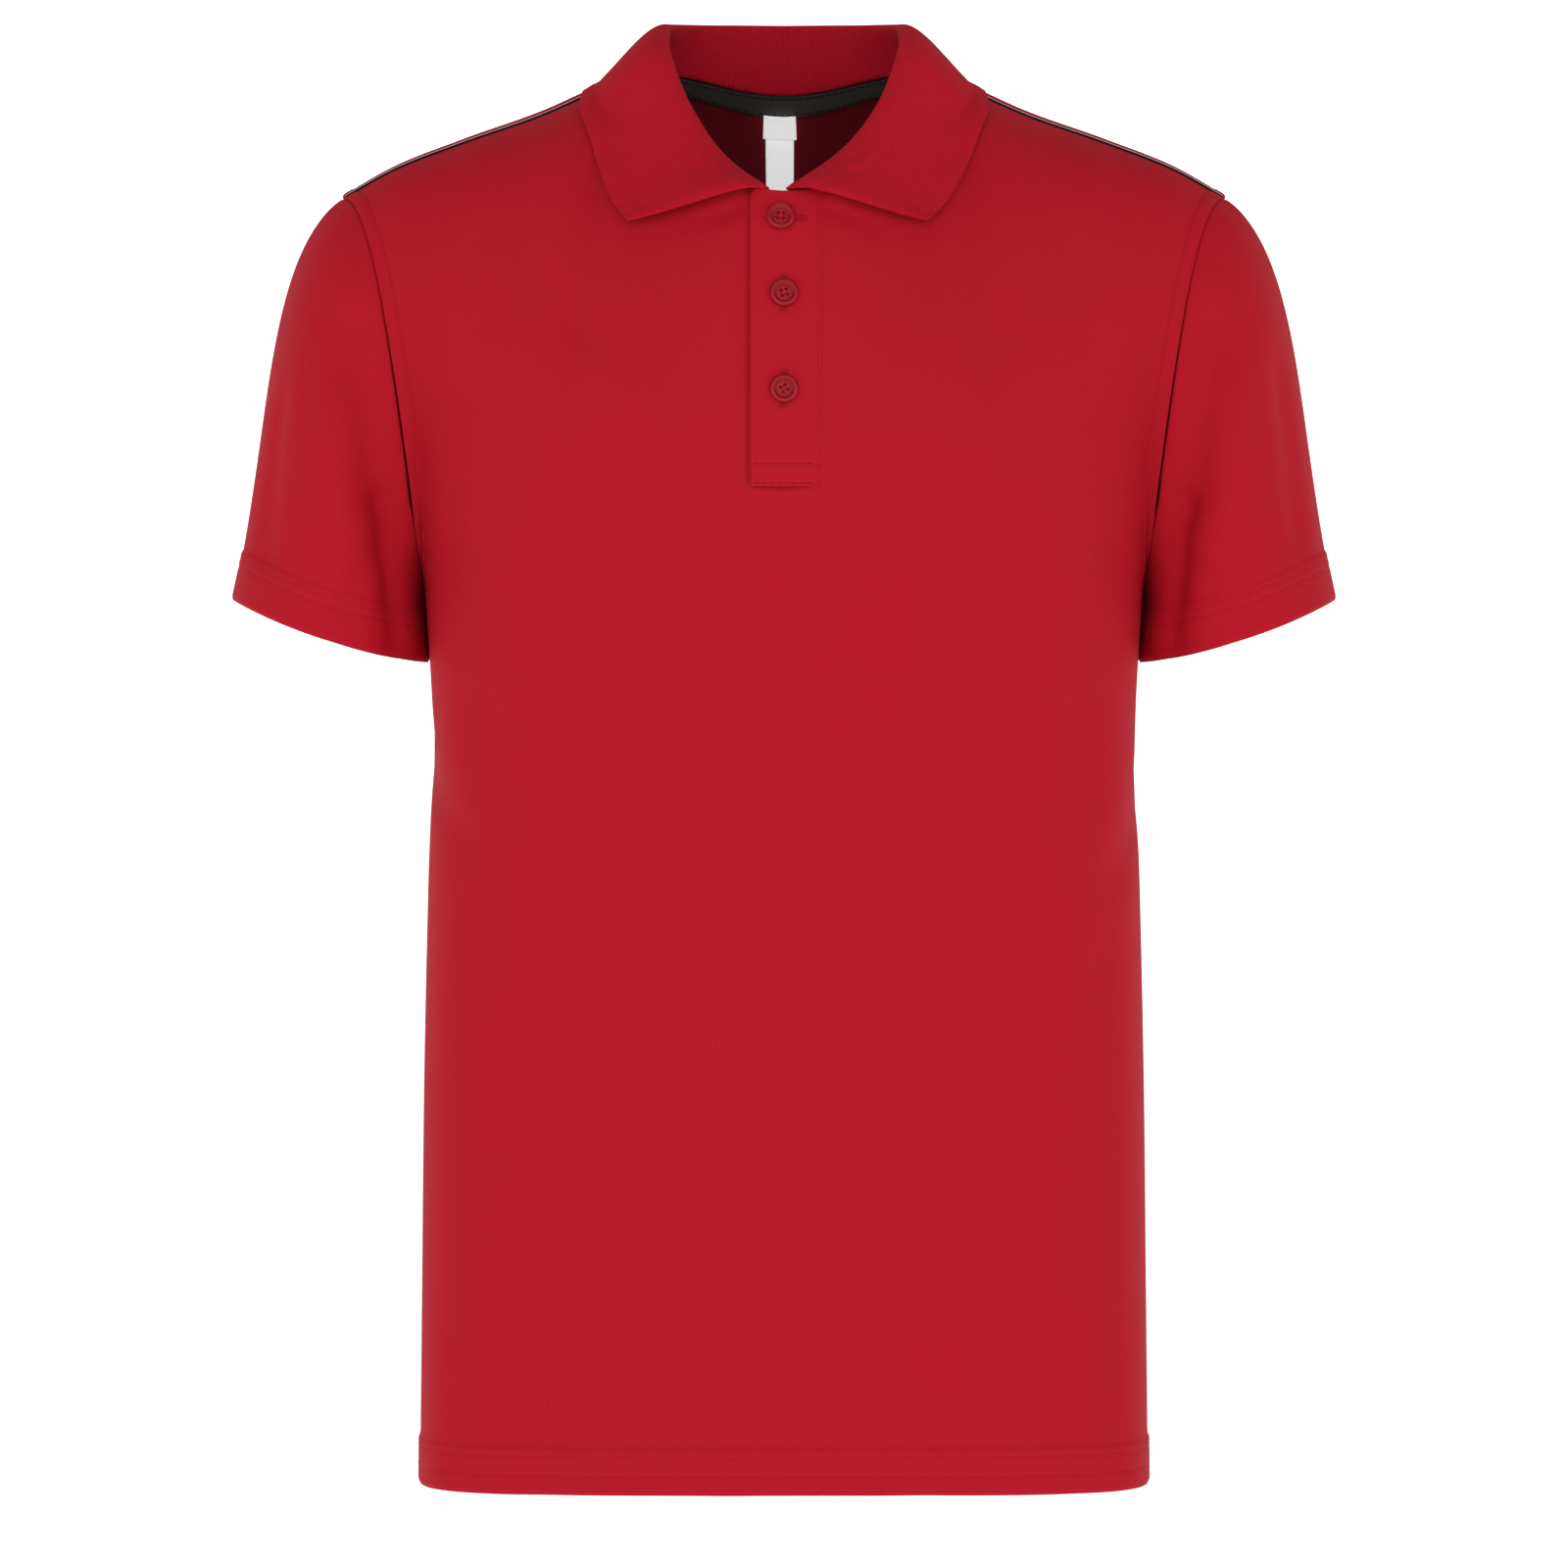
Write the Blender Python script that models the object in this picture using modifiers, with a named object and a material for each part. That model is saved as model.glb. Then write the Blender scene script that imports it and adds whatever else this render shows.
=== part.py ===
"""A child's polo shirt as a worn shell of cloth: +Z up, front towards -Y, metres.

The origin is at the middle of the neck, level with the points where the shoulder seams meet
the collar. Every panel is an open surface worked out from short tables, with a wall inside it.
"""

import functools
import math

import bmesh
import bpy
import numpy as np
from mathutils import Vector
from mathutils.bvhtree import BVHTree

# Cloth and seams
WALL = 0.0012
COLLAR_WALL = 0.0018
BAND_WALL = 0.0014
TRIM_WALL = 0.0008
SEAM_GAP = 0.0003

# Body: rings from the hem up to the underarm
UNDERARM_Z = -0.192
BODY_RINGS = (
    # height, half width, front depth, back depth, squareness
    (-0.5215, 0.1339, 0.0883, 0.0785, 4.8),
    (-0.4500, 0.1336, 0.0884, 0.0790, 4.0),
    (-0.3700, 0.1331, 0.0886, 0.0790, 3.4),
    (-0.3000, 0.1318, 0.0892, 0.0790, 3.0),
    (-0.2450, 0.1303, 0.0905, 0.0805, 2.9),
    (UNDERARM_Z, 0.1333, 0.0920, 0.0840, 2.8),
)

# Neckline, as an oval seen from above that drops towards the front
NECK_HALF_WIDTH = 0.058
NECK_BACK, NECK_FRONT = 0.050, 0.076
NECK_BACK_DROP, NECK_FRONT_DROP = 0.004, 0.053
NECK_FRONT_SHAPE = 1.3
SEAM_ANGLE = 96.0
NECK_SHARE = 0.43

# Shoulder seam, from the neck to the tip
SHOULDER_SEAM = (
    # share, x, y, z
    (0.00, 0.0577, -0.0080, -0.0030),
    (0.29, 0.0878, -0.0090, -0.0172),
    (0.58, 0.1195, -0.0090, -0.0284),
    (0.84, 0.1466, -0.0080, -0.0391),
    (1.00, 0.1640, -0.0040, -0.0485),
)

# How each column of a panel leaves the underarm ring, and how it reaches the neck or shoulder
FRONT_COLUMNS = (
    # share, lower handle x, y, z, upper handle x, y, z
    (0.00, 0.000, 0.000, 0.050, 0.0000, -0.012, -0.0400),
    (0.20, 0.000, 0.000, 0.060, 0.0010, -0.024, -0.0380),
    (0.43, 0.000, 0.000, 0.080, 0.0020, -0.050, -0.0150),
    (0.70, 0.001, -0.002, 0.065, 0.0000, -0.060, -0.0150),
    (0.88, 0.001, -0.032, 0.040, -0.0090, -0.054, -0.0090),
    (1.00, 0.000, -0.060, 0.000, -0.0180, -0.056, 0.0000),
)
BACK_COLUMNS = (
    (0.00, 0.000, 0.000, 0.085, 0.0000, 0.034, -0.0160),
    (0.20, 0.000, 0.000, 0.088, 0.0010, 0.040, -0.0080),
    (0.43, 0.000, 0.000, 0.090, 0.0020, 0.052, 0.0035),
    (0.70, 0.001, 0.002, 0.070, 0.0000, 0.060, 0.0015),
    (0.88, 0.001, 0.032, 0.042, -0.0090, 0.060, 0.0005),
    (1.00, 0.000, 0.060, 0.000, -0.0180, 0.064, 0.0000),
)
FRONT_SPREAD, BACK_SPREAD = 0.195, 0.220
COLUMNS = (0.13, 0.20, 0.28, 0.36, NECK_SHARE, 0.52, 0.61, 0.70, 0.78, 0.86, 0.93, 1.0)
LOWER_ROWS = 11
UPPER_ROWS = (0.12, 0.24, 0.36, 0.47, 0.57, 0.66, 0.74, 0.81, 0.87, 0.92, 0.96, 1.0)

# Sleeves, drawn on the wearer's left: the cuff is a tilted oval
CUFF_OUTER = Vector((0.2050, 0.0, -0.1975))
CUFF_INNER = Vector((0.1345, 0.0, -0.2205))
CUFF_HALF_DEPTH = 0.0475
CUFF_DIP = 0.004
SLEEVE_ROWS = 9
SLEEVE_HANDLES = (
    # degrees round from the top, handle at the armhole x, y, z, handle at the cuff x, y, z
    (0, 0.0300, 0.000, -0.0200, -0.0135, 0.000, 0.0560),
    (45, 0.0285, -0.010, -0.0220, -0.0105, -0.001, 0.0490),
    (90, 0.0210, -0.013, -0.0280, -0.0065, -0.003, 0.0400),
    (135, 0.0090, -0.006, -0.0200, -0.0040, -0.003, 0.0200),
    (180, 0.0060, 0.000, -0.0080, 0.0030, 0.000, 0.0100),
)

# Collar: the stand rises from the neckline to the roll, and the leaf falls from it to its edge
COLLAR_STATIONS = (
    # share, neckline degrees, roll x, y, z, leaf edge x, y, z, lean of the roll, its fullness
    (0.00, 0.0, 0.0000, 0.0460, 0.0208, 0.0000, 0.0720, -0.0205, 9.0, 0.0100),
    (0.14, 32.0, 0.0245, 0.0400, 0.0203, 0.0400, 0.0630, -0.0190, 12.0, 0.0100),
    (0.28, 62.0, 0.0390, 0.0230, 0.0182, 0.0650, 0.0400, -0.0150, 24.0, 0.0095),
    (0.42, 85.0, 0.0432, 0.0040, 0.0155, 0.0725, 0.0120, -0.0112, 32.0, 0.0088),
    (0.52, 98.0, 0.0434, -0.0130, 0.0108, 0.0738, -0.0120, -0.0116, 34.0, 0.0088),
    (0.62, 112.0, 0.0425, -0.0300, 0.0026, 0.0745, -0.0280, -0.0200, 34.0, 0.0090),
    (0.72, 125.0, 0.0360, -0.0450, -0.0159, 0.0710, -0.0410, -0.0300, 30.0, 0.0080),
    (0.80, 136.0, 0.0277, -0.0550, -0.0298, 0.0669, -0.0550, -0.0416, 26.0, 0.0070),
    (0.88, 147.0, 0.0198, -0.0630, -0.0391, 0.0613, -0.0670, -0.0537, 22.0, 0.0060),
    (0.95, 158.0, 0.0112, -0.0700, -0.0462, 0.0570, -0.0715, -0.0597, 20.0, 0.0052),
    (1.00, 167.0, 0.0055, -0.0748, -0.0488, 0.0544, -0.0745, -0.0624, 20.0, 0.0048),
)
ROLL_INSIDE = 0.0018
FOOT_INSIDE = 0.0030
LEAF_SPREAD = 0.35
COLLAR_SHIFT = -0.0023
COLLAR_AROUND = 44
STAND_ROWS, LEAF_ROWS = 4, 8

# Placket and buttons
PLACKET_BOTTOM_Z = -0.1585
SLIT_LEFT, SLIT_RIGHT = -0.0108, 0.0131
BAND_LEFT, BAND_RIGHT = -0.0121, 0.0128
FREE_EDGE_OUT, SEWN_EDGE_OUT = SEAM_GAP + BAND_WALL, 0.0002
BUTTONS = (
    # name, x, height
    ("button_1", -0.0013, -0.0621),
    ("button_2", 0.0000, -0.0900),
    ("button_3", 0.0000, -0.1246),
)
BUTTON_RADIUS = 0.0051
BUTTON_THICK = 0.0022
BUTTON_HOLE_RADIUS = 0.0007
BUTTON_HOLE_SPREAD = 0.0012

# Trims
TAPE_TOP, TAPE_HEIGHT = 0.0012, 0.0078
TAPE_END_ANGLE = 76.0
TAB_HALF_WIDTH, TAB_HEIGHT = 0.0064, 0.0094
LABEL_HALF_WIDTH, LABEL_HEIGHT = 0.0054, 0.0380
LABEL_WALL = 0.0004
PIPING_RADIUS = 0.0006
PIPING_START = 0.555

# Broad soft folds: troughs along a straight line, as deep as given
FOLDS = (
    # piece, start x, y, z, end x, y, z, half width, depth
    ("sleeve", 0.158, -0.052, -0.100, 0.146, -0.052, -0.160, 0.0110, 0.0040),
    ("sleeve", 0.160, 0.052, -0.105, 0.147, 0.052, -0.165, 0.0120, 0.0040),
    ("body", 0.128, -0.055, -0.185, 0.105, -0.078, -0.270, 0.0160, 0.0020),
    ("body", 0.128, 0.055, -0.185, 0.100, 0.075, -0.280, 0.0180, 0.0025),
)

COLORS = {
    # red, green, blue, roughness
    "jersey": (0.473, 0.011, 0.024, 0.75),
    "rib": (0.420, 0.011, 0.023, 0.80),
    "trim": (0.040, 0.037, 0.034, 0.70),
    "label": (0.800, 0.800, 0.790, 0.70),
    "button": (0.330, 0.009, 0.019, 0.35),
}


@functools.cache
def with_slopes(rows):
    """A table's first column, its other columns, and their slopes at each row."""
    table = np.array(rows, float)
    return table[:, 0], table[:, 1:], np.gradient(table[:, 1:], table[:, 0], axis=0)


def smooth(rows, at):
    """The columns of a table at a value of its first one, on a cubic through its rows."""
    keys, values, slopes = with_slopes(rows)
    i = min(max(int(np.searchsorted(keys, at)) - 1, 0), len(keys) - 2)
    step = keys[i + 1] - keys[i]
    s = (at - keys[i]) / step
    return (
        values[i] * (1 + 2 * s) * (1 - s) ** 2
        + slopes[i] * step * s * (1 - s) ** 2
        + values[i + 1] * s * s * (3 - 2 * s)
        + slopes[i + 1] * step * s * s * (s - 1)
    )


def bezier(a, b, c, d, t):
    """A point of the cubic curve with these four controls."""
    return a * (1 - t) ** 3 + b * (3 * t * (1 - t) ** 2) + c * (3 * t * t * (1 - t)) + d * t**3


def side_of(q):
    return -1.0 if q < 0 else 1.0


@functools.cache
def quarter_table(width, depth, square):
    """A quarter oval from its middle to its side: shares of its length, and the points there."""
    angles = np.linspace(0, math.pi / 2, 801)
    xs = width * np.sin(angles) ** (2 / square)
    ys = depth * np.maximum(np.cos(angles), 0) ** (2 / square)
    length = np.concatenate([[0], np.cumsum(np.hypot(np.diff(xs), np.diff(ys)))])
    return length / length[-1], xs, ys


def quarter_oval(width, depth, square, share):
    """(x, depth) at a share of the length of a quarter oval, from its middle to its side."""
    shares, xs, ys = quarter_table(float(width), float(depth), float(square))
    return np.interp(share, shares, xs), np.interp(share, shares, ys)


def body_ring(q, height, front):
    """A point of the body below the underarm; q is -1 to 1 across the panel."""
    width, front_depth, back_depth, square = smooth(BODY_RINGS, height)
    x, depth = quarter_oval(width, front_depth if front else back_depth, square, abs(q))
    return Vector((side_of(q) * x, -depth if front else depth, height))


def neckline(angle):
    """A point of the neck seam on the +X side: 0 at the back, 90 at the shoulder, 180 in front."""
    a = math.radians(angle)
    x = NECK_HALF_WIDTH * math.sin(a)
    if angle <= 90:
        return Vector((x, NECK_BACK * math.cos(a), -NECK_BACK_DROP * math.cos(a) ** 2))
    ahead = -math.cos(a)
    return Vector((x, -NECK_FRONT * ahead, -NECK_FRONT_DROP * ahead**NECK_FRONT_SHAPE))


def panel_top(q, front):
    """The upper edge of a body panel at a share across it: the neckline, then the shoulder seam."""
    share = abs(q)
    if share <= NECK_SHARE:
        along = share / NECK_SHARE
        point = neckline(180 - (180 - SEAM_ANGLE) * along if front else SEAM_ANGLE * along)
    else:
        point = Vector(smooth(SHOULDER_SEAM, (share - NECK_SHARE) / (1 - NECK_SHARE)))
    point.x *= side_of(q)
    return point


def mirrored(vector, q):
    return Vector((side_of(q) * vector[0], vector[1], vector[2]))


def fold_depth(piece, point):
    """How far the cloth sinks at a point, from the broad folds of its piece, alike left and right."""
    depth = 0.0
    across = Vector((abs(point.x), point.y, point.z))
    for name, x0, y0, z0, x1, y1, z1, width, deep in FOLDS:
        if name != piece:
            continue
        start, end = Vector((x0, y0, z0)), Vector((x1, y1, z1))
        line = end - start
        along = min(max((across - start).dot(line) / line.length_squared, 0.0), 1.0)
        away = (across - start - line * along).length / width
        depth += deep * math.exp(-away * away)
    return depth


def body_bare(q, t, front):
    """A point of a body panel before folds: t is -1 at the hem, 0 at the underarm, 1 at the top."""
    if t <= 0:
        hem = BODY_RINGS[0][0]
        return body_ring(q, UNDERARM_Z + (UNDERARM_Z - hem) * t, front)
    low = body_ring(q, UNDERARM_Z, front)
    step = 0.002
    lean = (low - body_ring(q, UNDERARM_Z - step, front)) / step
    high = panel_top(q, front)
    handles = smooth(FRONT_COLUMNS if front else BACK_COLUMNS, abs(q))
    rise = mirrored(handles[:3], q)
    rise.x += lean.x * rise.z * (1 - abs(q) ** 4)
    rise.y += lean.y * rise.z * (1 - abs(q) ** 4)
    return bezier(low, low + rise, high + mirrored(handles[3:], q), high, t)


def normal_at(surface, u, v):
    """The unit normal of a surface, from two short steps on it."""
    step = 0.004
    u0, u1 = max(u - step, -1), min(u + step, 1)
    v0, v1 = max(v - step, -1), min(v + step, 1)
    across = surface(u1, v) - surface(u0, v)
    along = surface(u, v1) - surface(u, v0)
    return across.cross(along).normalized()


def front_point(q, t, out=0.0):
    """A point of the front panel, moved outwards."""
    point = body_bare(q, t, True)
    normal = normal_at(lambda u, v: body_bare(u, v, True), q, t)
    return point + normal * (out - fold_depth("body", point))


def back_point(q, t, out=0.0):
    """A point of the back panel, moved outwards."""
    point = body_bare(q, t, False)
    normal = -normal_at(lambda u, v: body_bare(u, v, False), q, t)
    return point + normal * (out - fold_depth("body", point))


def armhole(degrees):
    """The armhole seam on the +X side: 0 at the shoulder tip, 90 in front, 180 at the underarm."""
    if degrees <= 180:
        return body_bare(1.0, 1 - degrees / 180, True)
    return body_bare(1.0, (degrees - 180) / 180, False)


def cuff(degrees):
    """The edge of the sleeve hem, counted round as the armhole is."""
    a = math.radians(degrees)
    middle, half = (CUFF_OUTER + CUFF_INNER) / 2, (CUFF_OUTER - CUFF_INNER) / 2
    point = middle + half * math.cos(a)
    point.y = -CUFF_HALF_DEPTH * math.sin(a)
    point.z -= CUFF_DIP * math.sin(a) ** 2
    return point


def sleeve_bare(degrees, t):
    """A point of the sleeve before folds, from the armhole at 0 to the hem at 1."""
    turned = degrees % 360
    mirror = turned > 180
    handles = smooth(SLEEVE_HANDLES, 360 - turned if mirror else turned)
    first, last = Vector(handles[:3]), Vector(handles[3:])
    if mirror:
        first.y, last.y = -first.y, -last.y
    start = armhole(turned) + first.normalized() * 3 * SEAM_GAP
    end = cuff(turned)
    return bezier(start, start + first, end + last, end, t)


def sleeve_point(side, degrees, t):
    """A point of a sleeve; side is 1 for the wearer's left and -1 for the right."""
    step = 0.02
    ahead, behind = sleeve_bare(degrees + 1, t), sleeve_bare(degrees - 1, t)
    t0, t1 = max(t - step, 0), min(t + step, 1)
    along = sleeve_bare(degrees, t1) - sleeve_bare(degrees, t0)
    normal = (ahead - behind).cross(along).normalized()
    point = sleeve_bare(degrees, t)
    point = point - normal * fold_depth("sleeve", point)
    return Vector((side * point.x, point.y, point.z))


def collar_point(u, w):
    """A point of the collar's middle surface: u is -1 to 1 round the neck, w is -1 at the
    neckline, 0 at the roll and 1 at the edge of the leaf."""
    values = smooth(COLLAR_STATIONS, abs(u))
    seam = neckline(values[0])
    roll, edge = Vector(values[1:4]), Vector(values[4:7])
    outward = Vector((seam.x, seam.y, 0)).normalized()
    foot = seam - outward * FOOT_INSIDE
    foot.z += COLLAR_WALL / 2
    stand = (roll - foot).normalized()
    spread = edge - roll
    lean, fullness = math.radians(values[7]), values[8]
    over = outward * math.cos(lean) + Vector((0, 0, math.sin(lean)))
    over = (over - stand * over.dot(stand)).normalized()
    if w <= 0:
        rise = (roll - foot).length
        point = bezier(foot, foot + stand * rise * 0.5, roll - over * ROLL_INSIDE, roll, 1 + w)
    else:
        point = bezier(roll, roll + over * fullness, edge - spread * LEAF_SPREAD, edge, w)
    point = Vector((side_of(u) * point.x, point.y, point.z))
    point.x += COLLAR_SHIFT * smooth_step((abs(u) - 0.7) / 0.3)
    return point


def smooth_step(s):
    s = min(max(s, 0.0), 1.0)
    return s * s * (3 - 2 * s)


def make_material(name):
    red, green, blue, roughness = COLORS[name]
    material = bpy.data.materials.new(name)
    material.use_nodes = True
    shader = material.node_tree.nodes["Principled BSDF"]
    shader.inputs["Base Color"].default_value = (red, green, blue, 1)
    shader.inputs["Roughness"].default_value = roughness
    shader.inputs["Metallic"].default_value = 0
    return material


def add_object(name, mesh, material, collection):
    obj = bpy.data.objects.new(name, mesh)
    obj.data.materials.append(material)
    collection.objects.link(obj)
    return obj


def add_shell(name, point, us, vs, wall, offset, material, collection, keep=None, closed=False):
    """An open surface over two lists of shares, with a wall; keep says which faces stay."""
    bm = bmesh.new()
    bmesh.ops.create_grid(bm, x_segments=len(us) - 1, y_segments=len(vs) - 1, size=1)
    bm.verts.ensure_lookup_table()
    places = {}
    for vert in bm.verts:
        i = round((vert.co.x + 1) / 2 * (len(us) - 1))
        j = round((vert.co.y + 1) / 2 * (len(vs) - 1))
        places[vert] = (us[i], vs[j])
    if keep:
        gone = []
        for face in bm.faces:
            corners = [places[vert] for vert in face.verts]
            middle = (sum(c[0] for c in corners) / 4, sum(c[1] for c in corners) / 4)
            if not keep(*middle):
                gone.append(face)
        bmesh.ops.delete(bm, geom=gone, context="FACES")
    for vert in bm.verts:
        vert.co = point(*places[vert])
    if closed:
        bmesh.ops.remove_doubles(bm, verts=bm.verts, dist=1e-6)
    mesh = bpy.data.meshes.new(name)
    bm.to_mesh(mesh)
    bm.free()
    mesh.shade_smooth()
    obj = add_object(name, mesh, material, collection)
    solid = obj.modifiers.new("wall", "SOLIDIFY")
    solid.thickness = wall
    solid.offset = offset
    solid.use_even_offset = True
    return obj


def outer_tree(point, us, vs):
    """A search tree over a panel's outer surface."""
    rows = [[point(u, v) for u in us] for v in vs]
    across = len(us)
    faces = []
    for j in range(len(vs) - 1):
        for i in range(across - 1):
            first = j * across + i
            faces.append((first, first + 1, first + across + 1, first + across))
    return BVHTree.FromPolygons([vert for row in rows for vert in row], faces)


def lifted(point, trees, clearance):
    """The point, moved out where it lies nearer to a panel than the clearance."""
    for tree, outward in trees:
        near, normal, _, _ = tree.find_nearest(point)
        normal = normal * outward
        height = (point - near).dot(normal)
        if height < clearance and (point - near).length < 0.02:
            point = point + normal * (clearance - height)
    return point


@functools.cache
def share_at(x, height):
    """(q, t) of the front panel's point with this x and height, near the middle."""
    q, t = x / FRONT_SPREAD, 0.5
    for _ in range(3):
        low, high = 0.0, 1.0
        for _ in range(20):
            t = (low + high) / 2
            if body_bare(q, t, True).z < height:
                low = t
            else:
                high = t
        q += (x - body_bare(q, t, True).x) / FRONT_SPREAD
    return q, t


def panel_shares():
    """The rows and columns of the body panels."""
    return list(np.linspace(-1, 0, LOWER_ROWS + 1)), list(UPPER_ROWS)


def build_body(cloth, collection):
    """The front, slit for the placket, and the back."""
    slit_left, slit_bottom = share_at(SLIT_LEFT, PLACKET_BOTTOM_Z)
    slit_right = share_at(SLIT_RIGHT, PLACKET_BOTTOM_Z)[0]
    lower, upper = panel_shares()
    nearest = min(range(len(upper)), key=lambda i: abs(upper[i] - slit_bottom))
    upper[nearest] = slit_bottom
    upper[-1] = 1 - SEAM_GAP / 0.08
    edge = [c if c < 1 else 1 - SEAM_GAP / 0.3 for c in COLUMNS]
    middle = (slit_left + slit_right) / 2
    columns = [-c for c in reversed(edge)] + [slit_left, middle, slit_right] + edge

    def beside_slit(q, t):
        return t < slit_bottom or not slit_left < q < slit_right

    add_shell("front", front_point, columns, lower + upper, WALL, -1, cloth, collection, beside_slit)
    lower, upper = panel_shares()
    columns = [-c for c in reversed(edge)] + [-0.065, 0.0, 0.065] + edge
    columns = columns[::-1]
    add_shell("back", back_point, columns, lower + upper, WALL, -1, cloth, collection)


def build_sleeves(cloth, collection):
    """Both sleeves, from the armholes down to the hems."""
    front_half = [180 * (1 - t) for t in reversed((0.0, *UPPER_ROWS))]
    around = front_half + [360 - degrees for degrees in reversed(front_half[:-1])]
    rows = list(np.linspace(0, 1, SLEEVE_ROWS + 1))
    for name, side in (("sleeve_left", 1), ("sleeve_right", -1)):
        turned = around if side > 0 else around[::-1]

        def place(degrees, t, side=side):
            return sleeve_point(side, degrees, t)

        add_shell(name, place, turned, rows, WALL, -1, cloth, collection, closed=True)


def build_collar(cloth, collection):
    """The folded strip of the collar, its leaf lying just off the body."""
    coarse = [c / 20 for c in range(-20, 21)]
    heights = [c / 20 for c in range(0, 21)]
    trees = (
        (outer_tree(front_point, coarse, heights), 1),
        (outer_tree(back_point, coarse, heights), -1),
    )

    def place(u, w):
        point = collar_point(u, w)
        clearance = COLLAR_WALL / 2 + 3 * SEAM_GAP
        if abs(point.x) < 1.4 * SLIT_RIGHT:
            clearance += BAND_WALL + SEAM_GAP
        return lifted(point, trees, clearance) if w > 0.15 else point

    us = list(np.linspace(-1, 1, COLLAR_AROUND + 1))
    stand = list(np.linspace(-1, 0, STAND_ROWS + 1))
    leaf = list(np.linspace(0, 1, LEAF_ROWS + 1))[1:]
    stand[-2] = -0.12
    leaf.insert(0, 0.05)
    add_shell("collar", place, us, stand + leaf, COLLAR_WALL, 0, cloth, collection)


def band_out(x):
    """How far the upper band's face stands off the panel, more towards its free edge."""
    across = (x - BAND_LEFT) / (BAND_RIGHT - BAND_LEFT)
    return FREE_EDGE_OUT + (SEWN_EDGE_OUT - FREE_EDGE_OUT) * across


def build_placket(cloth, collection):
    """The upper band over the slit, its free edge raised, and the lower band behind it."""
    rows = 12

    def band(name, left, right, out, wall):
        def place(across, along):
            x = left + (right - left) * across
            bottom = share_at(x, PLACKET_BOTTOM_Z)[1] + 0.004
            t = bottom + (0.992 - bottom) * along
            q = x / FRONT_SPREAD
            q += (x - body_bare(q, t, True).x) / FRONT_SPREAD
            return front_point(q, t, out(x))

        shares = [i / 4 for i in range(5)]
        heights = [j / rows for j in range(rows + 1)]
        add_shell(name, place, shares, heights, wall, -1, cloth, collection)

    def under_out(x):
        return -(WALL + 2 * SEAM_GAP)

    band("placket_top", BAND_LEFT, BAND_RIGHT, band_out, BAND_WALL)
    band("placket_under", SLIT_LEFT - 0.002, SLIT_RIGHT - SEAM_GAP, under_out, WALL)


def build_buttons(plastic, collection, cutters):
    """Turned buttons with a rim, a dished middle and four holes."""
    r, h = BUTTON_RADIUS, BUTTON_THICK
    profile = (
        (0.0, h * 0.62),
        (r * 0.55, h * 0.62),
        (r * 0.68, h * 0.95),
        (r * 0.90, h),
        (r, h * 0.62),
        (r * 0.90, h * 0.12),
        (r * 0.55, 0.0),
        (0.0, 0.0),
    )
    for name, x, height in BUTTONS:
        bm = bmesh.new()
        verts = [bm.verts.new((across, 0, up)) for across, up in profile]
        for first, second in zip(verts, verts[1:]):
            bm.edges.new((first, second))
        bmesh.ops.spin(
            bm,
            geom=bm.verts[:] + bm.edges[:],
            cent=(0, 0, 0),
            axis=(0, 0, 1),
            angle=2 * math.pi,
            steps=16,
            use_merge=True,
        )
        bmesh.ops.remove_doubles(bm, verts=bm.verts, dist=1e-6)
        bmesh.ops.recalc_face_normals(bm, faces=bm.faces)
        mesh = bpy.data.meshes.new(name)
        bm.to_mesh(mesh)
        bm.free()
        mesh.shade_smooth()
        obj = add_object(name, mesh, plastic, collection)
        q, t = share_at(x, height)
        normal = normal_at(lambda u, v: body_bare(u, v, True), q, t)
        slope = (band_out(BAND_LEFT) - band_out(BAND_RIGHT)) / (BAND_RIGHT - BAND_LEFT)
        facing = (normal + Vector((slope, 0, 0))).normalized()
        obj.location = body_bare(q, t, True) + normal * (band_out(x) + SEAM_GAP)
        obj.rotation_mode = "QUATERNION"
        obj.rotation_quaternion = Vector((0, 0, 1)).rotation_difference(facing)
        for k in range(4):
            turn = math.radians(45 + 90 * k)
            bm = bmesh.new()
            bmesh.ops.create_cone(
                bm,
                cap_ends=True,
                segments=6,
                radius1=BUTTON_HOLE_RADIUS,
                radius2=BUTTON_HOLE_RADIUS,
                depth=4 * h,
            )
            hole_mesh = bpy.data.meshes.new(f"{name}_hole")
            bm.to_mesh(hole_mesh)
            bm.free()
            hole = bpy.data.objects.new(f"{name}_hole_{k}", hole_mesh)
            cutters.objects.link(hole)
            hole.parent = obj
            spread = BUTTON_HOLE_SPREAD
            hole.location = (spread * math.cos(turn), spread * math.sin(turn), h / 2)
            hole.hide_render = True
            hole.display_type = "WIRE"
            cut = obj.modifiers.new(f"hole_{k}", "BOOLEAN")
            cut.operation = "DIFFERENCE"
            cut.object = hole


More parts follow.
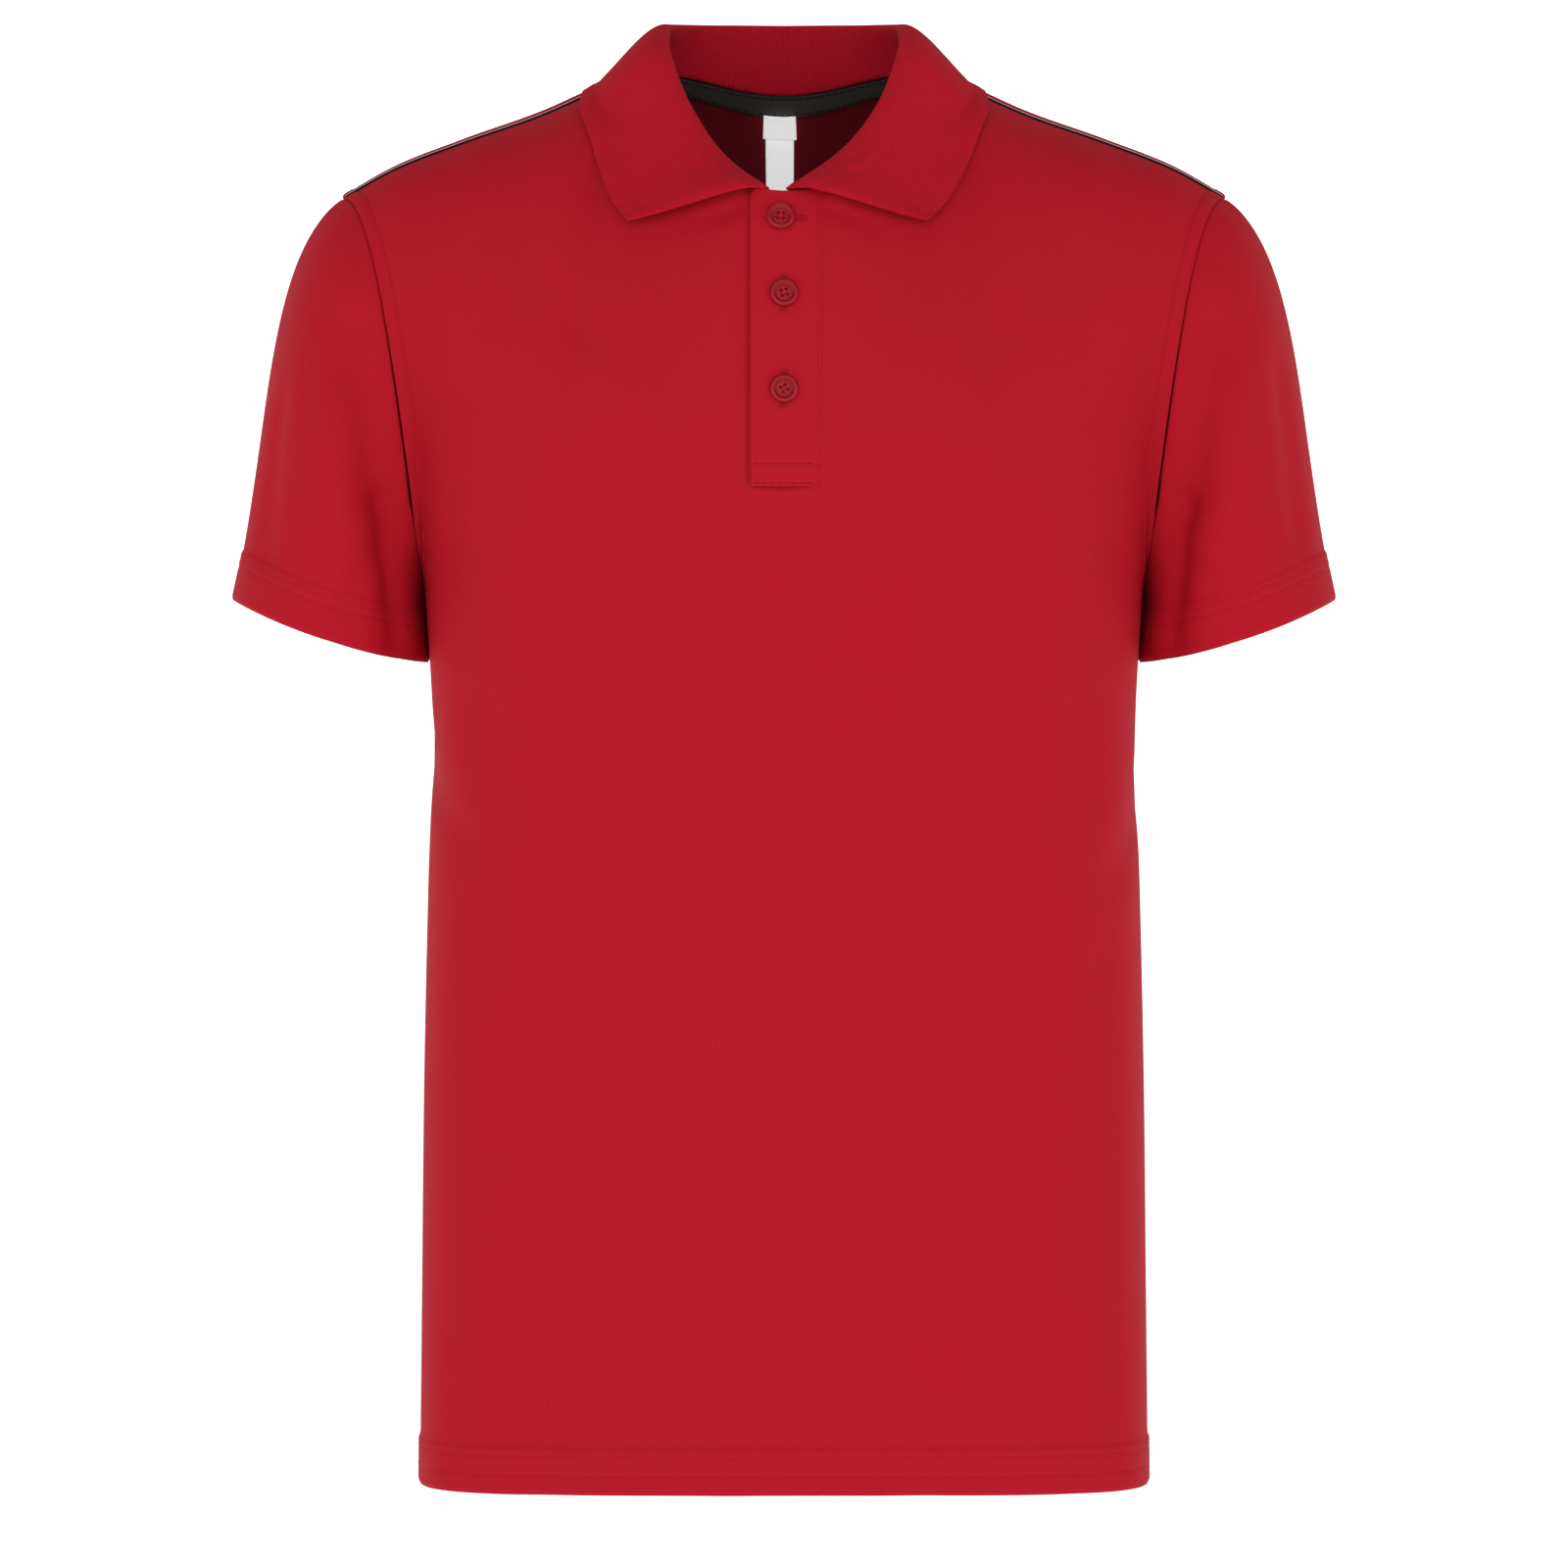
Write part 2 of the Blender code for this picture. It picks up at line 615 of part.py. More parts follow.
def build_trims(tape_cloth, label_cloth, collection):
    """The neck tape with its tab and label inside the back, and the piping on the shoulders."""
    inside = -(WALL + 2 * SEAM_GAP)

    def down_back(q, drop):
        """The share along a column of the back that lies a length below the neckline."""
        ts = np.linspace(1, 0.4, 121)
        points = [body_bare(q, t, False) for t in ts]
        lengths = np.cumsum([0] + [(a - b).length for a, b in zip(points, points[1:])])
        return float(np.interp(drop, lengths, ts))

    def strip(name, drops, half_share, out, cells, wall, material, flare=0.0):
        """A strip down the inside of the back: drops are its top and bottom along the cloth,
        and cells its rows and columns."""
        top, bottom = drops
        rows, columns = cells

        def place(across, along):
            q = across * half_share * (1 + flare * (1 - along))
            return back_point(q, down_back(abs(q), top + (bottom - top) * (1 - along)), out)

        shares = list(np.linspace(1, -1, columns + 1))
        heights = list(np.linspace(0, 1, rows + 1))
        add_shell(name, place, shares, heights, wall, -1, material, collection)

    tape_share = NECK_SHARE * TAPE_END_ANGLE / SEAM_ANGLE
    tape_bottom = TAPE_TOP + TAPE_HEIGHT
    strip("neck_tape", (TAPE_TOP, tape_bottom), tape_share, inside, (2, 20), TRIM_WALL, tape_cloth)
    behind_tape = inside - TRIM_WALL - SEAM_GAP
    tab_top = tape_bottom - 0.001
    tab = (tab_top, tab_top + TAB_HEIGHT)
    tab_share, label_share = TAB_HALF_WIDTH / BACK_SPREAD, LABEL_HALF_WIDTH / BACK_SPREAD
    strip("size_tab", tab, tab_share, behind_tape - WALL, (4, 2), LABEL_WALL, label_cloth, 0.06)
    label = (tape_bottom, tape_bottom + LABEL_HEIGHT)
    strip("neck_label", label, label_share, behind_tape, (8, 2), LABEL_WALL, label_cloth)

    for name, side in (("piping_left", 1), ("piping_right", -1)):
        curve = bpy.data.curves.new(name, "CURVE")
        curve.dimensions = "3D"
        curve.bevel_depth = PIPING_RADIUS
        curve.bevel_resolution = 1
        curve.use_fill_caps = True
        shares = np.linspace(PIPING_START, 0.985, 15)
        spline = curve.splines.new("POLY")
        spline.points.add(len(shares) - 1)
        for knot, share in zip(spline.points, shares):
            out = PIPING_RADIUS + SEAM_GAP
            point = front_point(side * share, 0.998, out)
            knot.co = (point.x, point.y, point.z, 1)
        add_object(name, curve, tape_cloth, collection)


def main():
    for obj in list(bpy.data.objects):
        bpy.data.objects.remove(obj)
    collection = bpy.data.collections.new("polo_shirt")
    cutters = bpy.data.collections.new("cutters")
    for made in (collection, cutters):
        bpy.context.scene.collection.children.link(made)
    jersey, rib = make_material("jersey"), make_material("rib")
    build_body(jersey, collection)
    build_sleeves(jersey, collection)
    build_collar(rib, collection)
    build_placket(jersey, collection)
    build_buttons(make_material("button"), collection, cutters)
    build_trims(make_material("trim"), make_material("label"), collection)


main()
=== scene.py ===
"""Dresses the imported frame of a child's sports polo shirt, filled out with no wearer.

Every panel is a thin shell on nearly the form of its solid, worked out from short tables that
differ from the solid's in a few values, with its creases, hems, seams and sewing on it. Metres,
+Z up, the front towards -Y and +X towards the wearer's left.
"""

import logging
import math
from collections.abc import Callable, Iterable, Sequence
from dataclasses import dataclass, field
from enum import Enum

import bmesh
import bpy
import numpy as np
from mathutils import Matrix, Vector
from mathutils.bvhtree import BVHTree
from mathutils.kdtree import KDTree


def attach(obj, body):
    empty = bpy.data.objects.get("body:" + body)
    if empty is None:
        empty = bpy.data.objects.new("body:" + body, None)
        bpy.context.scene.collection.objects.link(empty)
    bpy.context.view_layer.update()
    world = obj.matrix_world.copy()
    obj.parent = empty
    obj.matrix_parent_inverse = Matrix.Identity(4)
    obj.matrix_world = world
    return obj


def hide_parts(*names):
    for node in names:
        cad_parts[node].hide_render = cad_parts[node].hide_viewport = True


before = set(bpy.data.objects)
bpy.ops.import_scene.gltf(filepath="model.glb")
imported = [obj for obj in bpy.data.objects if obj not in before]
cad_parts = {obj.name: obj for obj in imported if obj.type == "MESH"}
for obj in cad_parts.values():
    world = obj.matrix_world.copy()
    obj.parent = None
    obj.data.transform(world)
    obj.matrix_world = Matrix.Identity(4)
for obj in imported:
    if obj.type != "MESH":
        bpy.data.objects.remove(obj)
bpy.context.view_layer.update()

BODY = "root"
TURN = 2 * math.pi
Array = np.ndarray
log = logging.getLogger("polo_shirt")


class Side(Enum):
    """The wearer's sides, as the sign of x."""

    LEFT = 1
    RIGHT = -1


class Face(Enum):
    """The two body panels, as the sign of y."""

    FRONT = -1
    BACK = 1


def soft_step(s: Array) -> Array:
    """0 below 0, 1 above 1, and smooth in between."""
    s = np.clip(s, 0, 1)
    return s * s * (3 - 2 * s)


def bell(distance: Array, half_width: float) -> Array:
    """1 at no distance, falling smoothly to nothing a few half widths away."""
    return np.exp(-((distance / half_width) ** 2))


def spaced(start: float, end: float, count: int, crowding: float = 0.75) -> Array:
    """Values from start to end that lie closer together near both ends.

    Args:
        start: The first value.
        end: The last value.
        count: The number of steps between them.
        crowding: 0 for even steps, and nearly 1 for very short end steps.

    Returns:
        count + 1 values.
    """
    s = np.linspace(0, 1, count + 1)
    return start + (end - start) * (s - crowding * np.sin(2 * np.pi * s) / (2 * np.pi))


def bezier(a: Array, b: Array, c: Array, d: Array, t: Array) -> Array:
    """Points of the cubic curves with these four controls."""
    return a * (1 - t) ** 3 + b * (3 * t * (1 - t) ** 2) + c * (3 * t * t * (1 - t)) + d * t**3


def unit(vectors: Array) -> Array:
    """The vectors at length 1."""
    return vectors / np.maximum(np.linalg.norm(vectors, axis=-1, keepdims=True), 1e-12)


def located(keys: Array, values: Array) -> tuple[Array, Array]:
    """The step of the sorted keys that holds each value, and the share of the way along it."""
    i = np.clip(np.searchsorted(keys, values) - 1, 0, len(keys) - 2)
    return i, (values - keys[i]) / (keys[i + 1] - keys[i])


def lengths_along(line: Array) -> Array:
    """The length along a line of points, up to each of them."""
    return np.concatenate([[0], np.cumsum(np.linalg.norm(np.diff(line, axis=0), axis=-1))])


def on_line(values: Array, keys: Array, line: Array) -> Array:
    """Points of a line, read where its keys have these values."""
    return np.stack([np.interp(values, keys, column) for column in line.T], axis=-1)


@dataclass(frozen=True)
class Table:
    """Rows of a short table, read by their first column on a smooth cubic."""

    rows: tuple[tuple[float, ...], ...]

    def at(self, keys: Array) -> Array:
        """The other columns at these values of the first one."""
        table = np.array(self.rows, float)
        first, values = table[:, 0], table[:, 1:]
        slopes = np.gradient(values, first, axis=0)
        i, share = located(first, np.asarray(keys, float))
        step, s = (first[i + 1] - first[i])[..., None], share[..., None]
        return (
            values[i] * (1 + 2 * s) * (1 - s) ** 2
            + slopes[i] * step * s * (1 - s) ** 2
            + values[i + 1] * s * s * (3 - 2 * s)
            + slopes[i + 1] * step * s * s * (s - 1)
        )


@dataclass(frozen=True)
class Crease:
    """A soft trough along a line of points, or a ridge where its depth is negative."""

    line: tuple[tuple[float, float, float], ...]
    half_width: float
    depth: float

    def sink(self, points: Array) -> Array:
        """How far the cloth sinks at each point."""
        nearest = np.full(points.shape[:-1], np.inf)
        for start, end in zip(self.line, self.line[1:]):
            start, run = np.array(start), np.array(end) - np.array(start)
            along = np.clip((points - start) @ run / (run @ run), 0, 1)
            away = np.linalg.norm(points - start - along[..., None] * run, axis=-1)
            nearest = np.minimum(nearest, away)
        return self.depth * bell(nearest, self.half_width)


def both_sides(*creases: Crease) -> tuple[Crease, ...]:
    """The creases and their mirror images across the middle of the shirt."""
    other = tuple(
        Crease(tuple((-x, y, z) for x, y, z in c.line), c.half_width, c.depth) for c in creases
    )
    return creases + other


class Surface:
    """A smooth surface over two shares, kept as a grid of points with its normals.

    points[j, i] is the point at shares us[i] and vs[j].
    """

    def __init__(self, us: Array, vs: Array, points: Array, outward: float = 1.0) -> None:
        """Keeps the grid and works out its normals, turned outwards."""
        self.us, self.vs, self.points, self.outward = us, vs, points, outward
        across = np.gradient(points, us, axis=1)
        along = np.gradient(points, vs, axis=0)
        self.normals = unit(np.cross(across, along)) * outward

    def creased(self, creases: Iterable[Crease]) -> "Surface":
        """The same surface, sunk along the creases."""
        sink = np.zeros(self.points.shape[:2])
        for crease in creases:
            sink += crease.sink(self.points)
        return self.moved(-sink)

    def moved(self, out: Array) -> "Surface":
        """The same surface, each grid point moved out along its normal."""
        points = self.points + self.normals * out[..., None]
        return Surface(self.us, self.vs, points, self.outward)

    def read(self, grid: Array, u: Array, v: Array) -> Array:
        """The values of a grid at pairs of shares, read between its rows and columns."""
        i, a = located(self.us, u)
        j, b = located(self.vs, v)
        a, b = a[..., None], b[..., None]
        low = grid[j, i] * (1 - a) + grid[j, i + 1] * a
        high = grid[j + 1, i] * (1 - a) + grid[j + 1, i + 1] * a
        return low * (1 - b) + high * b

    def point(self, u: Array, v: Array, out: Array | float = 0.0) -> Array:
        """Points at pairs of shares, moved out from the surface."""
        u, v = np.broadcast_arrays(np.asarray(u, float), np.asarray(v, float))
        out = np.broadcast_to(out, u.shape)[..., None]
        return self.read(self.points, u, v) + unit(self.read(self.normals, u, v)) * out

    def normal(self, u: Array, v: Array) -> Array:
        """Unit normals at pairs of shares."""
        u, v = np.broadcast_arrays(np.asarray(u, float), np.asarray(v, float))
        return unit(self.read(self.normals, u, v))

    def lengths(self, from_end: bool) -> Array:
        """The length along each column, from its first row, or from its last one."""
        steps = np.linalg.norm(np.diff(self.points, axis=0), axis=-1)
        zero = np.zeros((1, self.points.shape[1]))
        if from_end:
            return np.concatenate([np.cumsum(steps[::-1], axis=0)[::-1], zero])
        return np.concatenate([zero, np.cumsum(steps, axis=0)])

    def below_end(self, u: Array, drop: Array) -> Array:
        """The shares v that lie a length below the last row, along the columns at shares u."""
        lengths = self.lengths(from_end=True)
        i, a = located(self.us, u)
        columns = lengths[:, i] * (1 - a) + lengths[:, i + 1] * a
        return np.array([np.interp(-d, -column, self.vs) for d, column in zip(drop, columns.T)])

    def tree(self) -> BVHTree:
        """A search tree over the surface, its faces turned outwards."""
        rows, columns = self.points.shape[:2]
        faces = []
        for j in range(rows - 1):
            for i in range(columns - 1):
                a = j * columns + i
                face = (a, a + 1, a + columns + 1, a + columns)
                faces.append(face if self.outward > 0 else face[::-1])
        return BVHTree.FromPolygons([Vector(p) for p in self.points.reshape(-1, 3)], faces)


def distances(points: Array, line: Array, step: float = 0.0004) -> Array:
    """How far each point lies from a line of points, measured every step along it."""
    lengths = lengths_along(line)
    dense = on_line(np.arange(0, lengths[-1], step), lengths, line)
    tree = KDTree(len(dense))
    for index, place in enumerate(dense):
        tree.insert(place, index)
    tree.balance()
    flat = [tree.find(place)[2] for place in points.reshape(-1, 3)]
    return np.array(flat).reshape(points.shape[:-1])


class Value:
    """A value in a material, with the arithmetic that its patterns are written in."""

    def __init__(self, book: "NodeBook", socket: bpy.types.NodeSocket) -> None:
        """Wraps an output socket of a node in the book."""
        self.book, self.socket = book, socket

    def _math(self, operation: str, *values: "Value | float") -> "Value":
        """The result of a Math node on these values."""
        node = self.book.node("ShaderNodeMath", {"operation": operation}, dict(enumerate(values)))
        return Value(self.book, node.outputs[0])

    def __add__(self, other: "Value | float") -> "Value":
        """The sum."""
        return self._math("ADD", self, other)

    def __mul__(self, other: "Value | float") -> "Value":
        """The product."""
        return self._math("MULTIPLY", self, other)

    def __abs__(self) -> "Value":
        """The size without its sign."""
        return self._math("ABSOLUTE", self)

    def sin(self) -> "Value":
        """The sine of an angle in radians."""
        return self._math("SINE", self)

    def clamped(self) -> "Value":
        """The value, kept between 0 and 1."""
        return self._math("MINIMUM", self._math("MAXIMUM", self, 0.0), 1.0)


class NodeBook:
    """The nodes of one material."""

    def __init__(self, name: str) -> None:
        """Starts a material with its shader."""
        self.material = bpy.data.materials.new(name)
        self.material.use_nodes = True
        self.tree = self.material.node_tree
        self.shader = self.tree.nodes["Principled BSDF"]

    def node(self, kind: str, settings: dict, values: dict) -> bpy.types.Node:
        """Adds a node.

        Args:
            kind: The node's type.
            settings: Its own settings, such as an operation, or stops for a ramp.
            values: What goes into its sockets, by name or number: numbers, tuples or Values.

        Returns:
            The node.
        """
        node = self.tree.nodes.new(kind)
        for name, setting in settings.items():
            setattr(node, name, setting)
        for name, value in values.items():
            self.feed(node.inputs[name], value)
        return node

    def feed(self, socket: bpy.types.NodeSocket, value: object) -> None:
        """Links a Value to a socket, or sets a plain one on it."""
        if isinstance(value, Value):
            self.tree.links.new(value.socket, socket)
        else:
            socket.default_value = value

    def shade(self, **values: object) -> None:
        """Sets the shader's sockets, named with underscores for spaces."""
        for name, value in values.items():
            self.feed(self.shader.inputs[name.replace("_", " ")], value)

    def uv(self) -> tuple[Value, Value]:
        """The two coordinates of the piece's own map, in metres of cloth."""
        node = self.node("ShaderNodeUVMap", {"uv_map": "cloth"}, {})
        split = self.node("ShaderNodeSeparateXYZ", {}, {0: Value(self, node.outputs[0])})
        return Value(self, split.outputs[0]), Value(self, split.outputs[1])

    def noise(self, scale: float, detail: float = 2.0, stretch: tuple = (1, 1, 1)) -> Value:
        """Even noise from 0 to 1 on the object's own coordinates."""
        place = self.node("ShaderNodeTexCoord", {}, {})
        spot = Value(self, place.outputs["Object"])
        turned = self.node("ShaderNodeMapping", {}, {"Vector": spot, "Scale": stretch})
        spot = Value(self, turned.outputs[0])
        values = {"Vector": spot, "Scale": scale, "Detail": detail}
        return Value(self, self.node("ShaderNodeTexNoise", {}, values).outputs["Fac"])

    def mixed(self, share: Value, first: tuple, second: tuple) -> Value:
        """A colour between two, by a share."""
        settings = {"data_type": "RGBA"}
        node = self.node("ShaderNodeMix", settings, {"Factor": share, 6: first, 7: second})
        return Value(self, node.outputs[2])

    def bump(self, height: Value, distance: float) -> Value:
        """A normal that follows a height from 0 to 1 over a real distance."""
        sizes = {"Height": height, "Distance": distance, "Strength": 1.0}
        return Value(self, self.node("ShaderNodeBump", {}, sizes).outputs[0])


def tint(red: int, green: int, blue: int) -> tuple[float, float, float, float]:
    """A colour from its screen values, as the shader reads it."""
    parts = [c / 255 for c in (red, green, blue)]
    linear = [c / 12.92 if c <= 0.04045 else ((c + 0.055) / 1.055) ** 2.4 for c in parts]
    return (*linear, 1.0)


@dataclass(frozen=True)
class Finish:
    """What the finishes share: two colours, an uneven roughness, a shine, a relief and a glow that
    is painted light.
    """

    name: str
    light: tuple[float, ...]
    dark: tuple[float, ...]
    roughness: float
    unevenness: float
    shine: float
    relief: float
    # Painted light: a glow that lights the finish from within, though it is no lamp.
    painted_glow: float = 0.0

    def pattern(self, book: NodeBook) -> tuple[Value, Value, Value]:
        """The share of the light colour, the unevenness and the height, each from 0 to 1."""
        raise NotImplementedError

    def material(self) -> bpy.types.Material:
        """Makes the material."""
        book = NodeBook(self.name)
        share, uneven, height = self.pattern(book)
        book.shade(
            Base_Color=book.mixed(share, self.dark, self.light),
            Roughness=uneven * self.unevenness + (self.roughness - self.unevenness / 2),
            Specular_IOR_Level=self.shine,
            Normal=book.bump(height, self.relief),
        )
        # The glow is painted light, so that the finish reads bright in shade.
        if self.painted_glow:
            book.shade(Emission_Color=self.light, Emission_Strength=self.painted_glow)
        return book.material


@dataclass(frozen=True)
class KnitFinish(Finish):
    """Fine jersey: rows of small knitted loops, with a dull sheen."""

    roughness: float = 0.80
    unevenness: float = 0.10
    shine: float = 0.12
    relief: float = 0.00005
    wale: float = 0.00075
    course: float = 0.00060

    def pattern(self, book: NodeBook) -> tuple[Value, Value, Value]:
        """Loops that lean to and fro, under wide clouds and a fine mottle."""
        across, along = book.uv()
        lean = (across * (TURN / self.wale)).sin()
        loops = (along * (TURN / self.course) + lean * 1.4).sin()
        height = (abs(lean) * 0.6 + loops * 0.2 + 0.2).clamped()
        cloud, mottle = book.noise(9.0, 3.0), book.noise(900.0, 1.0)
        return (cloud * 0.5 + mottle * 0.3 + height * 0.25).clamped(), cloud, height


@dataclass(frozen=True)
class RibFinish(Finish):
    """Flat-knit rib: ridges across the strip, with short loops along them."""

    roughness: float = 0.85
    unevenness: float = 0.10
    shine: float = 0.10
    relief: float = 0.00022
    rib: float = 0.00105
    course: float = 0.00085

    def pattern(self, book: NodeBook) -> tuple[Value, Value, Value]:
        """Ridges with loops on them, under wide clouds."""
        across, along = book.uv()
        ridge = (across * (TURN / self.rib)).sin() * 0.5 + 0.5
        loops = (along * (TURN / self.course) + ridge * 2.0).sin() * 0.5 + 0.5
        cloud = book.noise(14.0, 3.0)
        share = (ridge * 0.45 + loops * 0.15 + cloud * 0.4).clamped()
        return share, cloud, (ridge * 0.75 + loops * 0.25).clamped()


@dataclass(frozen=True)
class WovenFinish(Finish):
    """A close woven tape or label: crossing threads, more or less satin."""

    roughness: float = 0.605
    unevenness: float = 0.15
    shine: float = 0.3
    relief: float = 0.00006
    thread: float = 0.00045

    def pattern(self, book: NodeBook) -> tuple[Value, Value, Value]:
        """Slanting threads over level ones, under small clouds."""
        across, along = book.uv()
        turn = TURN / self.thread
        twill = (across * turn + along * turn).sin() * 0.5 + 0.5
        cross = (along * turn).sin() * 0.5 + 0.5
        height = (twill * 0.7 + cross * 0.3).clamped()
        cloud = book.noise(60.0, 2.0)
        return (height * 0.5 + cloud * 0.5).clamped(), cloud, height


@dataclass(frozen=True)
class ThreadFinish(Finish):
    """Spun sewing thread, or a narrow covered cord."""

    roughness: float = 0.55
    unevenness: float = 0.2
    shine: float = 0.12
    relief: float = 0.00004

    def pattern(self, book: NodeBook) -> tuple[Value, Value, Value]:
        """Fine fibres."""
        fibre = book.noise(2500.0, 2.0, (1, 1, 3))
        return fibre, fibre, fibre


@dataclass(frozen=True)
class ButtonFinish(Finish):
    """Moulded resin with a soft polish and faint clouds in it."""

    roughness: float = 0.30
    unevenness: float = 0.12
    shine: float = 0.22
    relief: float = 0.000002

    def pattern(self, book: NodeBook) -> tuple[Value, Value, Value]:
        """Faint clouds, and a fine scuff in the polish."""
        scuff = book.noise(3000.0, 2.0)
        return book.noise(420.0, 3.0), scuff, scuff


class Finishes(Enum):
    """Every finish on the shirt."""

    JERSEY = KnitFinish("red_jersey", tint(176, 16, 36), tint(166, 14, 33))
    # Painted shade: a darker copy of the jersey red for the cloth's inner faces. The real cloth is
    # the same red on both sides.
    WRONG_SIDE = KnitFinish("red_jersey_inside", tint(112, 13, 27), tint(102, 11, 24))
    RIB = RibFinish("red_rib", tint(189, 19, 40), tint(166, 16, 35))
    TAPE = WovenFinish("grey_tape", tint(74, 73, 68), tint(54, 53, 49))
    # The label glows. This is painted light that keeps it white in the shade inside the neck.
    LABEL = WovenFinish("white_label", tint(250, 250, 250), tint(240, 240, 241), painted_glow=0.50)
    SEWING = ThreadFinish("red_thread", tint(184, 20, 40), tint(150, 14, 31))
    BOX_SEWING = ThreadFinish("deep_red_thread", tint(140, 13, 30), tint(100, 10, 22))
    DARK_SEWING = ThreadFinish("black_thread", tint(26, 25, 25), tint(14, 14, 14))
    CORD = ThreadFinish("black_cord", tint(14, 13, 14), tint(7, 7, 7), 0.8)
    CORD_EDGE = ThreadFinish("grey_cord", tint(190, 183, 187), tint(150, 142, 146), 0.4)
    BUTTON = ButtonFinish("red_resin", tint(150, 11, 27), tint(134, 9, 24))

    @property
    def material(self) -> bpy.types.Material:
        """The finish's material, made when it is first asked for."""
        return bpy.data.materials.get(self.value.name) or self.value.material()


def placed(name: str, data: bpy.types.ID) -> bpy.types.Object:
    """A new object in the scene."""
    made = bpy.data.objects.new(name, data)
    bpy.context.scene.collection.objects.link(made)
    return made


def mesh_of(name: str, bm: bmesh.types.BMesh) -> bpy.types.Mesh:
    """A smooth mesh of what was drawn, which is then let go."""
    mesh = bpy.data.meshes.new(name)
    bm.to_mesh(mesh)
    bm.free()
    mesh.shade_smooth()
    return mesh


def spun(name: str, profile: Iterable[tuple[float, float]], steps: int) -> bpy.types.Mesh:
    """A smooth mesh, turned about the z axis from the x and z of its profile."""
    bm = bmesh.new()
    verts = [bm.verts.new((x, 0, z)) for x, z in profile]
    edges = [bm.edges.new(pair) for pair in zip(verts, verts[1:])]
    turn = {"cent": (0, 0, 0), "axis": (0, 0, 1), "angle": TURN, "steps": steps}
    bmesh.ops.spin(bm, geom=verts + edges, use_merge=True, **turn)
    bmesh.ops.remove_doubles(bm, verts=bm.verts, dist=1e-5)
    bmesh.ops.recalc_face_normals(bm, faces=bm.faces)
    return mesh_of(name, bm)


def round_threads(
    name: str, lines: Iterable[Array], radius: float, sides: int
) -> bpy.types.Curve:
    """Round threads along lines of points, as one curve."""
    curve = bpy.data.curves.new(name, "CURVE")
    curve.dimensions = "3D"
    curve.bevel_depth = radius
    curve.bevel_resolution = sides
    curve.use_fill_caps = True
    for line in lines:
        spline = curve.splines.new("POLY")
        spline.points.add(len(line) - 1)
        for knot, place in zip(spline.points, line):
            knot.co = (*place, 1)
    return curve


def add_piece(
    name: str,
    data: bpy.types.Mesh | bpy.types.Curve,
    finish: Finishes,
    nodes: Sequence[str] = (),
) -> bpy.types.Object:
    """Adds a finished piece to the scene.

    Args:
        name: The piece's name.
        data: Its mesh or curve, already in place.
        finish: What it is made of.
        nodes: The frame's nodes that it stands for.

    Returns:
        The piece, riding on the shirt's body.
    """
    data.materials.append(finish.material)
    piece = placed(name, data)
    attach(piece, BODY)
    if nodes:
        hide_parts(*nodes)
    log.info("%s made", name)
    return piece


@dataclass
class Shell:
    """Cloth over the grid of a surface, with a wall.

    offset is -1 where the surface is the outside of the cloth, and 0 where it is its middle.
    """

    surface: Surface
    wall: float
    offset: float = -1.0
    closed: bool = False
    keep: Callable[[float, float], bool] | None = None
    span: tuple[float, float] = (1.0, 1.0)
    body: Array | None = None

    def mesh(self, name: str) -> bpy.types.Mesh:
        """Builds the open cloth as a grid shaped to the surface, with its map in metres."""
        us, vs, points = self.surface.us, self.surface.vs, self.surface.points
        bm = bmesh.new()
        bmesh.ops.create_grid(bm, x_segments=len(us) - 1, y_segments=len(vs) - 1, size=1)
        seats = {}
        for vert in bm.verts:
            i = round((vert.co.x + 1) / 2 * (len(us) - 1))
            j = round((vert.co.y + 1) / 2 * (len(vs) - 1))
            seats[vert] = (i, j)
            vert.co = points[j, i]
        layer = bm.loops.layers.uv.new("cloth")
        gone = []
        for face in bm.faces:
            middle = np.zeros(2)
            for loop in face.loops:
                i, j = seats[loop.vert]
                loop[layer].uv = (us[i] * self.span[0], vs[j] * self.span[1])
                middle += (us[i] / 4, vs[j] / 4)
            if self.keep is not None and not self.keep(*middle):
                gone.append(face)
        bmesh.ops.delete(bm, geom=gone, context="FACES")
        if self.closed:
            bmesh.ops.remove_doubles(bm, verts=bm.verts, dist=1e-6)
        if self.surface.outward < 0:
            bmesh.ops.reverse_faces(bm, faces=bm.faces)
        return mesh_of(name, bm)

    def piece(
        self, name: str, finish: Finishes, slot: str, nodes: Sequence[str] = ()
    ) -> bpy.types.Object:
        """Adds the cloth to the scene, with its wall."""
        piece = add_piece(name, self.mesh(name), finish, nodes)
        wall = piece.modifiers.new("wall", "SOLIDIFY")
        wall.thickness = self.wall
        wall.offset = self.offset
        wall.use_even_offset = True
        # The jersey's inner faces take the darker copy of its red, which is painted shade inside
        # the shirt.
        if finish is Finishes.JERSEY:
            piece.data.materials.append(Finishes.WRONG_SIDE.material)
            wall.material_offset = 1
        if self.body is not None:
            group = piece.vertex_groups.new(name="body")
            for vert, weight in zip(piece.data.vertices, self.body.reshape(-1)):
                group.add([vert.index], float(weight), "REPLACE")
            wall.vertex_group = "body"
            wall.thickness_vertex_group = 0.0
        return piece


